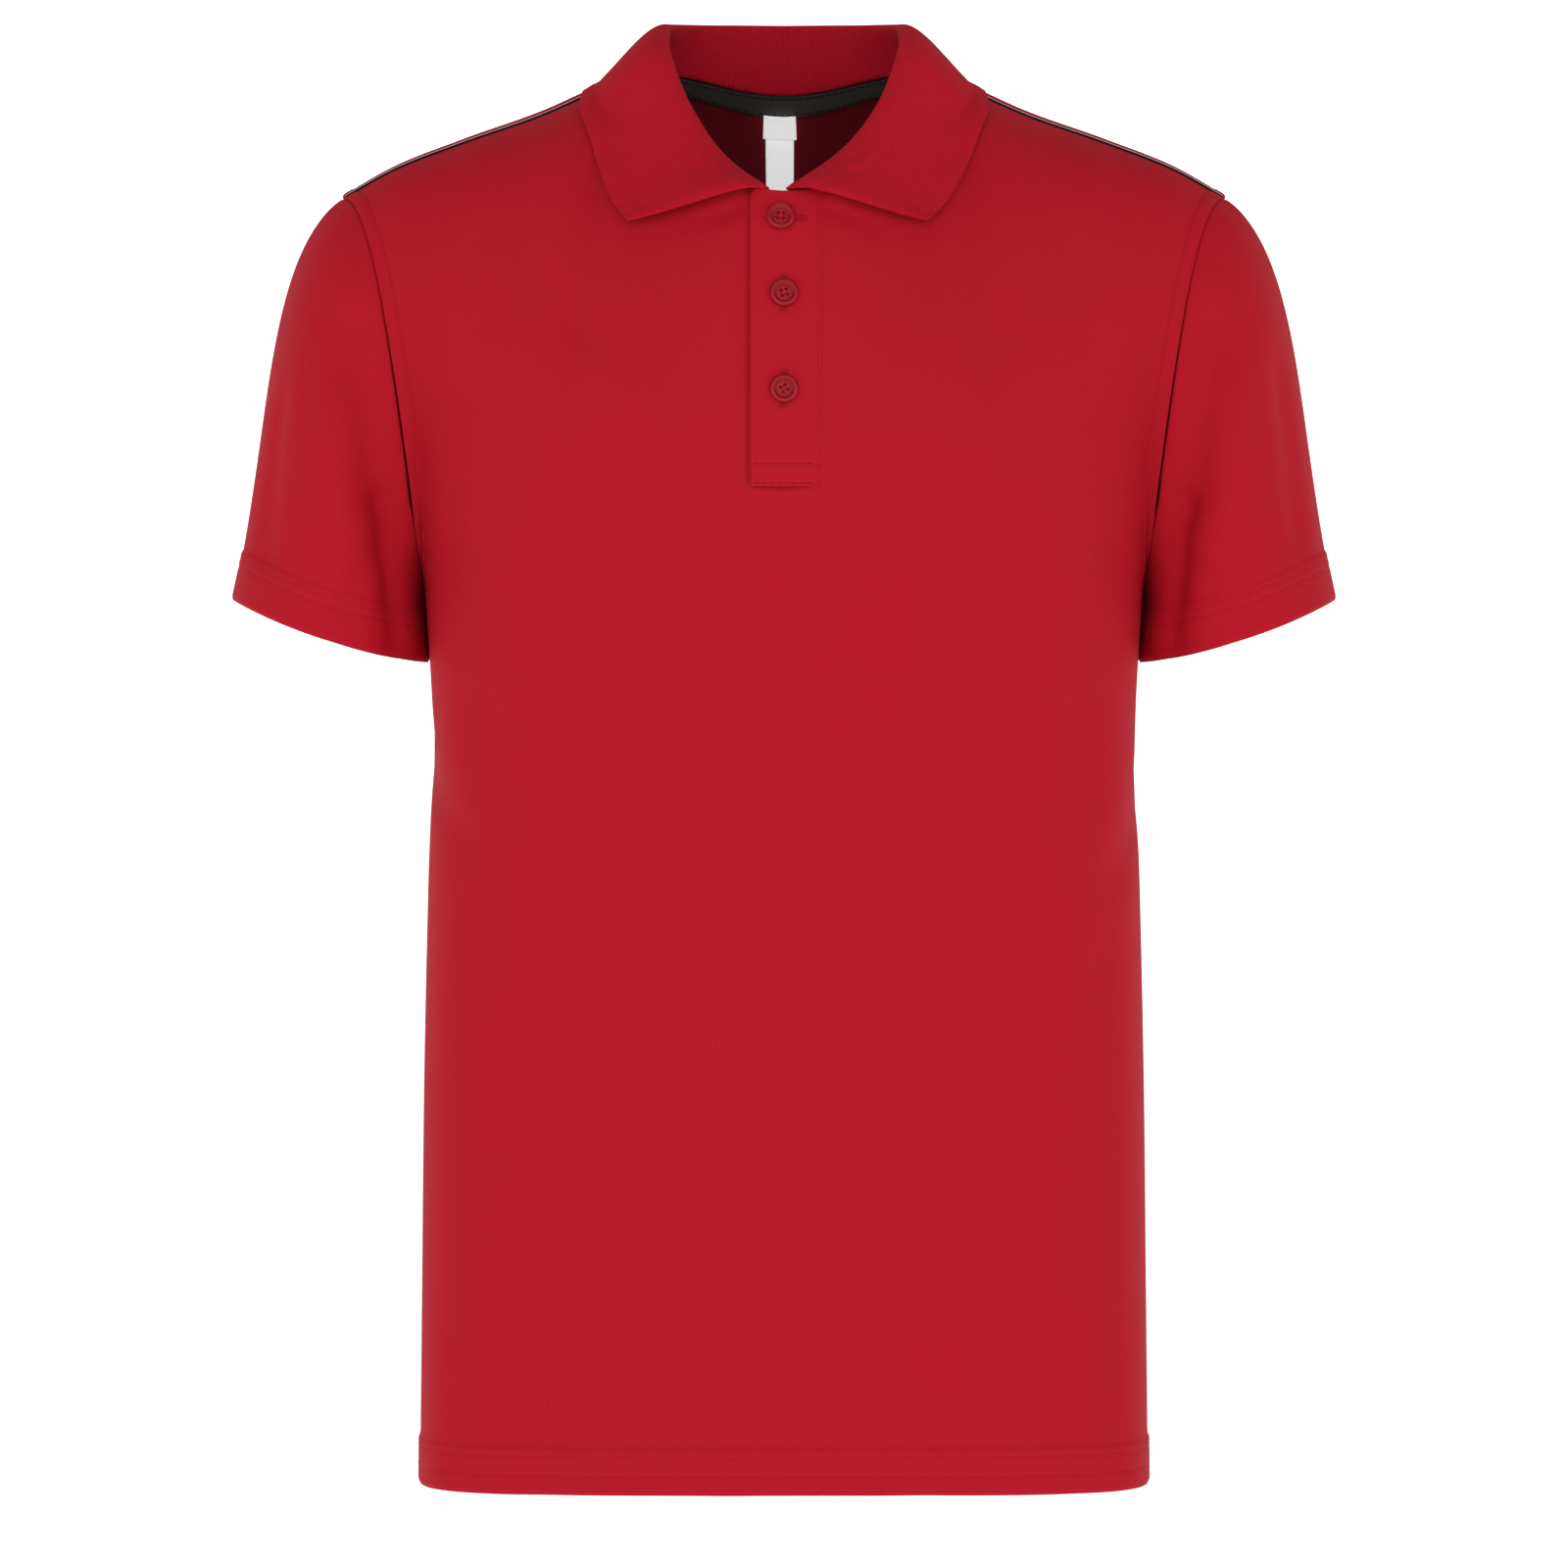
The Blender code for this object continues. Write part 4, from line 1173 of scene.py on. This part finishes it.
@dataclass
class Placket:
    """The upper band with its free edge, and the lower band behind the slit.

    reach is about the length that one of the panel's shares covers at the top of the bands.
    """

    front: BodyPanel
    wall: float = 0.0014
    bottom: float = -0.1585
    left: float = -0.0121
    right: float = 0.0135
    slit_left: float = -0.0108
    slit_right: float = 0.0131
    sewn_out: float = 0.00005
    top_share: float = 0.998
    foot_share: float = 0.006
    reach: float = 0.085
    corner: float = 0.0032
    edge_dip: float = 0.0004
    edge_half_width: float = 0.0005
    row_dip: float = 0.00025
    row_half_width: float = 0.0008
    lower_overlap: float = 0.002
    box_height: float = 0.0078
    box_inset: float = 0.0010
    length: float = 0.107
    upper_flat: tuple[float, float] = (0.0272, 0.1096)
    lower_flat: tuple[float, float] = (0.0256, 0.1090)

    def rise(self, x: Array) -> Array:
        """How far the upper band's face stands off the panel, more towards its free edge."""
        free = self.front.cut.seam_gap + self.wall
        return free + (self.sewn_out - free) * (x - self.left) / (self.right - self.left)

    def band(
        self, left: float, right: float, corner: float, out: Callable[[Array], Array]
    ) -> Surface:
        """One band as a surface: shares from 0 to 1 across it, and from 0 to 1 up it."""
        us, vs = spaced(0, 1, 34, 0.6), spaced(0, 1, 120, 0.5)
        x = np.broadcast_to(left + (right - left) * us, (len(vs), len(us)))
        low = self.front.shares_at(x[0], np.full(len(us), self.bottom))[1] - self.foot_share
        from_edge = np.minimum(x[0] - left, corner)
        cut = corner - np.sqrt(np.maximum(corner**2 - (corner - from_edge) ** 2, 0))
        t = low + (self.top_share - cut / self.reach - low) * vs[:, None]
        q = x / self.front.spread
        for _ in range(3):
            q = q + (x - self.front.smooth.point(q, t)[..., 0]) / self.front.spread
        return Surface(us, vs, self.front.smooth.point(q, t, out(x)))

    def make(self) -> None:
        """Works out both bands, the upper one soft along its edges."""
        cut = self.front.cut

        def upper(x: Array) -> Array:
            return self.rise(x) - self.edge_dip * bell(x - self.left, self.edge_half_width)

        def lower(x: Array) -> Array:
            return np.full(x.shape, -(cut.wall + 2 * cut.seam_gap))

        self.upper = self.band(self.left, self.right, self.corner, upper)
        start, end = self.slit_left - self.lower_overlap, self.slit_right - cut.seam_gap
        self.lower = self.band(start, end, 0.0, lower)
        rows = self.upper.lengths(from_end=False)
        dips = [bell(rows - row, self.row_half_width) for row in (self.box_inset, self.box_height)]
        self.upper = self.upper.moved(-self.row_dip * sum(dips))

    def sew(self) -> list[bpy.types.Object]:
        """Adds the box at the foot of the band, and the rows beside its sewn and free edges."""
        box = Sewing("placket_box_stitches", Finishes.BOX_SEWING)
        lengths = self.upper.lengths(from_end=False)[:, 0]
        low, high = np.interp((self.box_inset, self.box_height), lengths, self.upper.vs)
        across = np.linspace(0.05, 0.93, 40)
        for height in (low, high):
            box.along(self.upper, across, np.full_like(across, height))
        edges = Sewing("placket_edge_stitches")
        for share, top, count in ((0.955, 0.97, 90), (0.03, high, 20)):
            edges.along(self.upper, np.full(count, share), np.linspace(low, top, count))
        return [box.piece(), edges.piece()]

    def build(self, front_cloth: bpy.types.Object) -> None:
        """Adds both bands to the scene."""
        span = (self.right - self.left, self.length)
        upper = Shell(self.upper, self.wall, span=span)
        lower = Shell(self.lower, self.front.cut.wall, span=span)
        band = upper.piece("placket_upper_band", Finishes.JERSEY, "jersey", ("placket_top",))
        self.sew()
        band = lower.piece("placket_lower_band", Finishes.JERSEY, "jersey", ("placket_under",))


@dataclass
class Buttons:
    """Four-hole buttons sewn on with crossed thread, each over a stitched buttonhole."""

    placket: Placket
    places: tuple[tuple[str, float, float, bool], ...] = (
        # name, x, height, whether its buttonhole lies level
        ("button_1", -0.0013, -0.0621, True),
        ("button_2", 0.0000, -0.0900, False),
        ("button_3", 0.0000, -0.1246, False),
    )
    radius: float = 0.0051
    thick: float = 0.0022
    dish: tuple[tuple[float, float], ...] = (
        # radius and height from the middle out to the rim, as shares of the button's own
        (0.00, 0.56),
        (0.42, 0.56),
        (0.47, 0.66),
        (0.53, 0.66),
        (0.58, 0.58),
        (0.68, 0.72),
        (0.74, 0.95),
    )
    twist: float = 17.0
    hole_radius: float = 0.00062
    hole_spread: float = 0.00125
    thread: float = 0.00024
    slot_thread: float = 0.00013
    slot_length: float = 0.0132
    slot_width: float = 0.0026
    slot_past: float = 0.0026

    def profile(self) -> list[tuple[float, float]]:
        """The button's section from its middle: a dish, a step, a round rim and the back."""
        r, h = self.radius, self.thick
        rim = h / 2
        turns = [math.radians(90 - 180 * k / 8) for k in range(9)]
        edge = [(r - rim * 0.9 + rim * 0.9 * math.cos(a), rim + rim * math.sin(a)) for a in turns]
        dish = [(share * r, height * h) for share, height in self.dish]
        return dish + edge + [(0.5 * r, 0.0), (0.0, 0.0)]

    def turned(self, name: str) -> bpy.types.Mesh:
        """One button as a turned mesh with its four holes, standing on the origin."""
        blank = placed(f"{name}_blank", spun(f"{name}_whole", self.profile(), 64))
        drills = []
        for k in range(4):
            turn = math.radians(45 + 90 * k)
            place = Vector((math.cos(turn), math.sin(turn), 0)) * self.hole_spread
            bm = bmesh.new()
            sizes = {"radius1": self.hole_radius, "radius2": self.hole_radius, "depth": 0.01}
            bmesh.ops.create_cone(bm, cap_ends=True, segments=20, **sizes)
            bmesh.ops.translate(bm, verts=bm.verts, vec=place)
            drills.append(placed("drill", mesh_of("drill", bm)))
            hole = blank.modifiers.new("hole", "BOOLEAN")
            hole.operation, hole.object = "DIFFERENCE", drills[-1]
        graph = bpy.context.evaluated_depsgraph_get()
        mesh = bpy.data.meshes.new_from_object(blank.evaluated_get(graph))
        mesh.name = name
        for made in (blank, *drills):
            bpy.data.objects.remove(made)
        mesh.shade_smooth()
        mesh.set_sharp_from_angle(angle=math.radians(35))
        return mesh

    def seat(self, x: float, height: float) -> Matrix:
        """Where a button sits: on the upper band's face, turned as the band is."""
        placket, front = self.placket, self.placket.front
        q, t = front.shares_at(np.array([x]), np.array([height]))
        normal = front.smooth.normal(q, t)[0]
        slope = float(placket.rise(placket.left) - placket.rise(placket.right))
        slope /= placket.right - placket.left
        facing = Vector(normal) + Vector((slope, 0, 0))
        gap = float(placket.rise(x)) + front.cut.seam_gap
        place = Vector(front.smooth.point(q, t, gap)[0])
        turn = Vector((0, 0, 1)).rotation_difference(facing.normalized())
        return Matrix.Translation(place) @ turn.to_matrix().to_4x4()

    def slot_threads(self, level: bool, seed: int) -> list[Array]:
        """A buttonhole's satin stitches and end bars, lying flat at the origin.

        Args:
            level: Whether the buttonhole runs along x, past the button, and not up the band.
            seed: Makes its small unevenness its own.

        Returns:
            Threads as short lines of points.
        """
        uneven = np.random.default_rng(seed)
        half, leg = self.slot_length / 2, self.slot_width / 2
        threads = []
        for s in np.arange(-half, half, 0.00032):
            for sign in (-1, 1):
                inner, outer = sign * 0.00025, sign * leg + uneven.normal(0, 0.00005)
                stitch = [(s, inner, 0), (s, (inner + outer) / 2, 0.0002), (s, outer, 0)]
                threads.append(np.array(stitch))
        for end in (-half, half):
            for s in end + np.arange(-0.0005, 0.0006, 0.00028):
                threads.append(np.array([(s, -leg, 0), (s, 0, 0.0003), (s, leg, 0)]))
        for line in threads:
            if level:
                line[:, 0] += self.slot_past
            else:
                line[:, [0, 1]] = line[:, [1, 0]]
        return threads

    def cross_threads(self, twist: float) -> list[Array]:
        """The crossed threads through a button's holes, two strands each way, at the origin."""
        low, top = 0.1 * self.thick, 0.56 * self.thick + self.thread
        ends = (-1, -0.92, -0.6, 0.6, 0.92, 1)
        heights = (low, top * 0.8, top + self.thread, top + self.thread, top * 0.8, low)
        threads = []
        for turn in (45, 135):
            a = math.radians(turn + twist)
            along = np.array([math.cos(a), math.sin(a), 0])
            beside = np.array([-math.sin(a), math.cos(a), 0]) * self.thread * 0.9
            for strand in (-1, 1):
                line = np.array([along * e * self.hole_spread + beside * strand for e in ends])
                line[:, 2] = heights
                threads.append(line)
        return threads

    def build(self) -> None:
        """Adds the buttons, the thread in their holes and the buttonholes."""
        sewn = Sewing("button_threads", thread=self.thread, slot="button")
        slots = Sewing("buttonholes", thread=self.slot_thread)
        under = Matrix.Translation((0, 0, -self.placket.front.cut.seam_gap))
        for number, (name, x, height, level) in enumerate(self.places):
            seat = self.seat(x, height)
            twist = self.twist * number
            mesh = self.turned(f"{name}_turned")
            mesh.transform(seat @ Matrix.Rotation(math.radians(twist), 4, "Z"))
            add_piece(f"{name}_turned", mesh, Finishes.BUTTON, (name,))
            for sewing, threads, to in (
                (sewn, self.cross_threads(twist), seat),
                (slots, self.slot_threads(level, number), seat @ under),
            ):
                sewing.threads += [np.array([to @ Vector(p) for p in line]) for line in threads]
        sewn.piece(2)
        slots.piece(1)


@dataclass
class NeckTrims:
    """The tape over the back neck seam, with the bare size tab and the longer label under it."""

    back: BodyPanel
    back_spread: float = 0.220
    tape: tuple[float, float] = (0.0002, 0.0128)
    tape_end: float = 76.0
    tape_wall: float = 0.0008
    tape_puff: float = 0.0007
    tape_rows: tuple[float, float] = (0.14, 0.86)
    tape_thread: float = 0.00018
    tab_flare: float = 0.06
    tab_half_width: float = 0.0058
    tab_tucked: float = 0.0018
    tab_height: float = 0.0114
    label_half_width: float = 0.0052
    label_height: float = 0.0380
    label_wall: float = 0.0004
    label_aside: float = -0.0016
    tape_flat: tuple[float, float] = (0.1445, 0.0118)
    tape_area: float = 0.00134
    tab_flat: tuple[float, float] = (0.0125, 0.0104)
    label_flat: tuple[float, float] = (0.0107, 0.0365)

    def strip(
        self,
        drops: tuple[float, float],
        half: float,
        out: float,
        cells: tuple[int, int],
        flare: float = 0.0,
        puff: float = 0.0,
        aside: float = 0.0,
    ) -> Surface:
        """A strip down the inside of the back.

        Args:
            drops: Its top and bottom, along the cloth from the neck seam.
            half: Half its width, as a share of the panel.
            out: How far it lies from the panel's outside.
            cells: Its columns and rows.
            flare: How much wider it is at the bottom.
            puff: How far its middle stands off its long edges.
            aside: How far it lies to one side, as a share of the panel.

        Returns:
            The strip, from its bottom up.
        """
        us, vs = np.linspace(-1, 1, cells[0] + 1), np.linspace(0, 1, cells[1] + 1)
        smooth = self.back.smooth
        q = us[None, :] * half * (1 + flare * (1 - vs[:, None])) + aside
        drop = drops[0] + (drops[1] - drops[0]) * (1 - vs)
        t = np.array([smooth.below_end(row, np.full(len(us), d)) for row, d in zip(q, drop)])
        out = out - puff * (1 - (2 * vs - 1) ** 2)[:, None] + np.zeros_like(q)
        return Surface(us, vs, smooth.point(q, t, out), 1.0)

    def build(self, back_cloth: bpy.types.Object) -> None:
        """Adds the tape, the tab and the label, with their stitches."""
        cut = self.back.cut
        inside = -(cut.wall + 2 * cut.seam_gap)
        under = inside - self.tape_wall - cut.seam_gap
        half = cut.neck_share * self.tape_end / cut.seam_angle
        tape = self.strip(self.tape, half, inside, (110, 14), puff=self.tape_puff)
        bottom, aside = self.tape[1], self.label_aside / self.back_spread
        drops = (bottom - self.tab_tucked, bottom - self.tab_tucked + self.tab_height)
        half, out = self.tab_half_width / self.back_spread, under - cut.wall
        tab = self.strip(drops, half, out, (16, 12), flare=self.tab_flare, aside=aside)
        drops = (bottom, bottom + self.label_height)
        half = self.label_half_width / self.back_spread
        label = self.strip(drops, half, under, (14, 40), aside=aside)
        sewing = Sewing("tape_stitches", Finishes.DARK_SEWING, "trim", thread=self.tape_thread)
        across = np.linspace(-0.985, 0.985, 160)
        for row in self.tape_rows:
            inward = -self.back_normals(tape, across, row)
            points = tape.point(across, np.full_like(across, row))
            sewing.row(points + inward * self.tape_wall, inward)
        stitches = sewing.piece()
        made = (
            ("neck_tape_cloth", "neck_tape", tape, self.tape_wall, self.tape_flat),
            ("size_tab_satin", "size_tab", tab, self.label_wall, self.tab_flat),
            ("neck_label_satin", "neck_label", label, self.label_wall, self.label_flat),
        )
        for name, node, strip, wall, flat in made:
            taped = node == "neck_tape"
            # The tab and the label take the white finish, whose glow is painted light.
            finish, slot = (Finishes.TAPE, "trim") if taped else (Finishes.LABEL, "label")
            piece = Shell(strip, wall, 1.0, span=flat).piece(name, finish, slot, (node,))

    def back_normals(self, strip: Surface, across: Array, height: float) -> Array:
        """The strip's normals that point away from the wearer's neck."""
        rows = np.full_like(across, height)
        normals, middle = strip.normal(across, rows), strip.point(across, rows)
        away = np.sign((normals * (middle * np.array([1, 1, 0]))).sum(axis=-1, keepdims=True))
        return normals * away


@dataclass
class ShoulderPiping:
    """A dark cord along the front of each shoulder seam, with a paler edge above it."""

    front: BodyPanel
    start: float = 0.50
    end: float = 0.990
    hook: float = 0.0010
    cords: tuple[tuple[str, Finishes, float, float, float], ...] = (
        # name, finish, radius, drop below the seam along the cloth, stand off the cloth
        ("cord", Finishes.CORD, 0.00055, 0.0020, 0.00015),
        ("edge", Finishes.CORD_EDGE, 0.00036, 0.0012, 0.0005),
    )

    def line(self, side: Side, drop: float, out: float) -> Array:
        """The middle of a cord on one shoulder, hooked down at its outer end."""
        hooked = self.end + np.array([3, 4, 4]) / 1e3
        shares = side.value * np.concatenate([np.linspace(self.start, self.end, 70), hooked])
        drops = np.full(len(shares), drop)
        drops[-3:] += self.hook * np.array([0.25, 0.6, 1.0])
        rows = self.front.smooth.below_end(shares, drops)
        return self.front.smooth.point(shares, rows, out)

    def build(self) -> None:
        """Adds both cords and their edges, which together stand for the piping's nodes."""
        for side in Side:
            node = f"piping_{side.name.lower()}"
            for part, finish, radius, drop, out in self.cords:
                curve = round_threads(f"{node}_{part}", [self.line(side, drop, out)], radius, 4)
                add_piece(curve.name, curve, finish, (node,))


@dataclass
class Studio:
    """A plain pale floor, soft light all round and the camera."""

    floor_height: float = -0.60
    floor_radius: float = 5.0
    floor_sweep: float = 1.5
    wall_height: float = 2.2
    floor_glow: float = 0.76
    sky: float = 0.45
    lamps: tuple[tuple[str, tuple[float, float, float], float, float], ...] = (
        # name, place, power, size
        ("key", (-0.5, -3.2, 0.9), 13.0, 1.6),
        ("fill", (0.9, -3.0, 0.5), 5.0, 1.6),
    )
    distance: float = 2.4
    eye_height: float = -0.2661
    field: float = 0.584
    sensor: float = 36.0

    def floor(self) -> None:
        """A wide round floor below the hanging shirt, its rim swept up into a low white wall."""
        book = NodeBook("pale_floor")
        speckle = book.noise(40.0, 2.0)
        book.shade(
            Base_Color=book.mixed(speckle, (0.78, 0.78, 0.78, 1), (0.80, 0.80, 0.80, 1)),
            Roughness=0.9,
            Specular_IOR_Level=0.0,
            Emission_Color=(1.0, 1.0, 1.0, 1.0),
            Emission_Strength=self.floor_glow,
        )
        r, sweep, low = self.floor_radius, self.floor_sweep, self.floor_height
        turns = np.radians(np.linspace(0, 90, 13))
        rim = [(r + sweep * math.sin(a), low + sweep * (1 - math.cos(a))) for a in turns]
        mesh = spun("floor", [(0, low), *rim, (r + sweep, low + self.wall_height)], 96)
        mesh.materials.append(book.material)
        placed("floor", mesh)

    def light(self) -> None:
        """Even light all round, and square soft lamps that face the middle of the shirt."""
        world = bpy.data.worlds.new("studio")
        world.use_nodes = True
        back = world.node_tree.nodes["Background"]
        back.inputs["Color"].default_value = (1, 1, 1, 1)
        back.inputs["Strength"].default_value = self.sky
        bpy.context.scene.world = world
        bpy.context.scene.view_settings.view_transform = "Standard"
        for name, place, power, size in self.lamps:
            data = bpy.data.lights.new(name, "AREA")
            data.energy, data.size = power, size
            lamp = placed(name, data)
            lamp.location = place
            aim = Vector((0, 0, self.eye_height)) - Vector(place)
            lamp.rotation_euler = aim.to_track_quat("-Z", "Y").to_euler()

    def build(self) -> None:
        """Adds the floor, the lights and the camera."""
        self.floor()
        self.light()
        data = bpy.data.cameras.new("camera")
        data.sensor_width = self.sensor
        data.lens = self.sensor * self.distance / self.field
        camera = placed("camera", data)
        camera.location = (0, -self.distance, self.eye_height)
        camera.rotation_euler = (math.radians(90), 0, 0)
        bpy.context.scene.camera = camera


UNDERARM_FOLDS = both_sides(
    Crease(((0.128, -0.055, -0.185), (0.105, -0.078, -0.270)), 0.0160, 0.0020),
    Crease(((0.128, 0.055, -0.185), (0.100, 0.075, -0.280)), 0.0180, 0.0025),
)
FRONT_CREASES = (
    *UNDERARM_FOLDS,
    Crease(
        ((-0.124, -0.058, -0.176), (-0.098, -0.080, -0.200), (-0.070, -0.089, -0.212)),
        0.0070,
        0.0012,
    ),
    Crease(((0.123, -0.058, -0.180), (0.090, -0.083, -0.222)), 0.0080, 0.0010),
    Crease(((-0.133, -0.010, -0.250), (-0.118, -0.060, -0.285)), 0.0090, 0.0018),
    Crease(((0.133, -0.008, -0.262), (0.120, -0.058, -0.300)), 0.0100, 0.0015),
    Crease(((-0.112, -0.070, -0.300), (-0.104, -0.076, -0.395)), 0.0120, 0.0014),
    Crease(((0.117, -0.066, -0.330), (0.108, -0.074, -0.440)), 0.0110, 0.0017),
    Crease(((-0.100, -0.050, -0.070), (-0.070, -0.076, -0.105)), 0.0100, 0.0012),
    Crease(((0.105, -0.050, -0.075), (0.072, -0.076, -0.110)), 0.0110, 0.0010),
    Crease(((-0.035, -0.0785, -0.0625), (-0.018, -0.0795, -0.0570)), 0.0042, 0.0030),
    Crease(((0.019, -0.0795, -0.0575), (0.033, -0.0785, -0.0630)), 0.0040, 0.0028),
    Crease(((-0.062, -0.084, -0.120), (-0.030, -0.090, -0.190)), 0.0160, -0.0009),
    Crease(((0.058, -0.084, -0.115), (0.034, -0.090, -0.200)), 0.0180, -0.0010),
    Crease(((-0.030, -0.088, -0.370), (0.014, -0.088, -0.455)), 0.0220, -0.0014),
    Crease(((0.012, -0.0885, -0.428), (0.028, -0.0885, -0.433)), 0.0024, 0.0005),
    Crease(((0.020, -0.0885, -0.446), (0.034, -0.0885, -0.452)), 0.0027, 0.0004),
    Crease(((-0.085, -0.085, -0.5215), (-0.083, -0.086, -0.470)), 0.0090, 0.0014),
    Crease(((-0.020, -0.088, -0.5215), (-0.018, -0.088, -0.480)), 0.0120, -0.0010),
    Crease(((0.050, -0.088, -0.5215), (0.054, -0.088, -0.480)), 0.0100, 0.0013),
    Crease(((0.104, -0.080, -0.5215), (0.100, -0.080, -0.462)), 0.0080, 0.0011),
)
BACK_CREASES = (
    *UNDERARM_FOLDS,
    Crease(((-0.120, 0.060, -0.190), (-0.085, 0.078, -0.235)), 0.0080, 0.0022),
    Crease(((0.118, 0.062, -0.185), (0.080, 0.079, -0.245)), 0.0070, 0.0026),
    Crease(((-0.132, 0.020, -0.262), (-0.112, 0.062, -0.300)), 0.0090, 0.0024),
    Crease(((0.131, 0.018, -0.250), (0.110, 0.064, -0.292)), 0.0080, 0.0020),
    Crease(((-0.110, 0.052, -0.080), (-0.062, 0.078, -0.130)), 0.0090, 0.0019),
    Crease(((0.108, 0.054, -0.088), (0.058, 0.079, -0.125)), 0.0100, 0.0022),
    Crease(((-0.030, 0.076, -0.055), (0.034, 0.076, -0.058)), 0.0070, 0.0016),
    Crease(((-0.045, 0.078, -0.300), (-0.038, 0.079, -0.440)), 0.0110, 0.0022),
    Crease(((0.060, 0.077, -0.330), (0.052, 0.078, -0.470)), 0.0100, 0.0019),
    Crease(((0.010, 0.079, -0.380), (0.004, 0.079, -0.5215)), 0.0120, -0.0016),
    Crease(((-0.090, 0.075, -0.5215), (-0.086, 0.076, -0.455)), 0.0080, 0.0018),
    Crease(((0.098, 0.073, -0.5215), (0.094, 0.074, -0.470)), 0.0080, 0.0016),
)
SLEEVE_FOLDS = (
    Crease(((0.158, -0.052, -0.100), (0.146, -0.052, -0.160)), 0.0110, 0.0040),
    Crease(((0.144, -0.044, -0.165), (0.137, -0.038, -0.216)), 0.0080, 0.0050),
    Crease(((0.160, 0.052, -0.105), (0.147, 0.052, -0.165)), 0.0120, 0.0040),
    Crease(((0.145, 0.044, -0.168), (0.138, 0.039, -0.214)), 0.0080, 0.0042),
)
SLEEVE_CREASES = {
    Side.LEFT: (
        *SLEEVE_FOLDS,
        Crease(((0.165, -0.050, -0.122), (0.168, -0.050, -0.186)), 0.0080, -0.0011),
        Crease(((0.184, -0.032, -0.118), (0.191, -0.036, -0.172)), 0.0080, 0.0018),
        Crease(((0.150, -0.045, -0.186), (0.166, -0.047, -0.203)), 0.0060, 0.0011),
        Crease(((0.186, 0.034, -0.125), (0.193, 0.036, -0.180)), 0.0090, 0.0021),
        Crease(((0.170, 0.046, -0.140), (0.175, 0.047, -0.185)), 0.0070, 0.0016),
    ),
    Side.RIGHT: (
        *SLEEVE_FOLDS,
        Crease(((0.163, -0.050, -0.128), (0.165, -0.050, -0.192)), 0.0085, -0.0012),
        Crease(((0.186, -0.030, -0.128), (0.191, -0.034, -0.180)), 0.0075, 0.0016),
        Crease(((0.148, -0.045, -0.180), (0.162, -0.047, -0.200)), 0.0065, 0.0013),
        Crease(((0.183, 0.036, -0.115), (0.190, 0.037, -0.168)), 0.0100, 0.0019),
        Crease(((0.168, 0.046, -0.150), (0.171, 0.047, -0.192)), 0.0065, 0.0017),
    ),
}


def clear_start() -> None:
    """Removes what Blender's start-up file brings along."""
    for name in ("Cube", "Light", "Camera"):
        if name in bpy.data.objects:
            bpy.data.objects.remove(bpy.data.objects[name])


def main() -> None:
    """Builds the studio, then the shirt's pieces in the order that a maker joins them."""
    logging.basicConfig(level=logging.INFO, format="%(name)s: %(message)s")
    clear_start()
    Studio().build()
    cut = Cut()
    plain = BodyPanel(cut, Face.FRONT, FRONT_CREASES)
    plain.make()
    placket = Placket(plain)
    ends = np.array([placket.slit_left, placket.slit_right])
    (left, right), (bottom, _) = plain.shares_at(ends, np.full(2, placket.bottom))
    front = BodyPanel(cut, Face.FRONT, FRONT_CREASES, slit=(left, right, bottom))
    back = BodyPanel(cut, Face.BACK, BACK_CREASES, flat=(0.42, 0.557), flat_area=0.188)
    cloths = []
    for panel, name, node in ((front, "front_cloth", "front"), (back, "back_cloth", "back")):
        panel.make()
        cloths.append(panel.build(name, node))
    for side in Side:
        sleeve = Sleeve(cut, side, SLEEVE_CREASES[side])
        sleeve.make()
        word = side.name.lower()
        sleeve.build(f"sleeve_{word}_cloth", f"sleeve_{word}", cloths)
    placket.front = front
    placket.make()
    placket.build(cloths[0])
    collar = Collar(cut)
    collar.make(front, back, placket.wall + cut.seam_gap)
    collar.build("collar_rib", "collar", cloths)
    Buttons(placket).build()
    NeckTrims(back).build(cloths[1])
    ShoulderPiping(front).build()


if __name__ == "__main__":
    main()
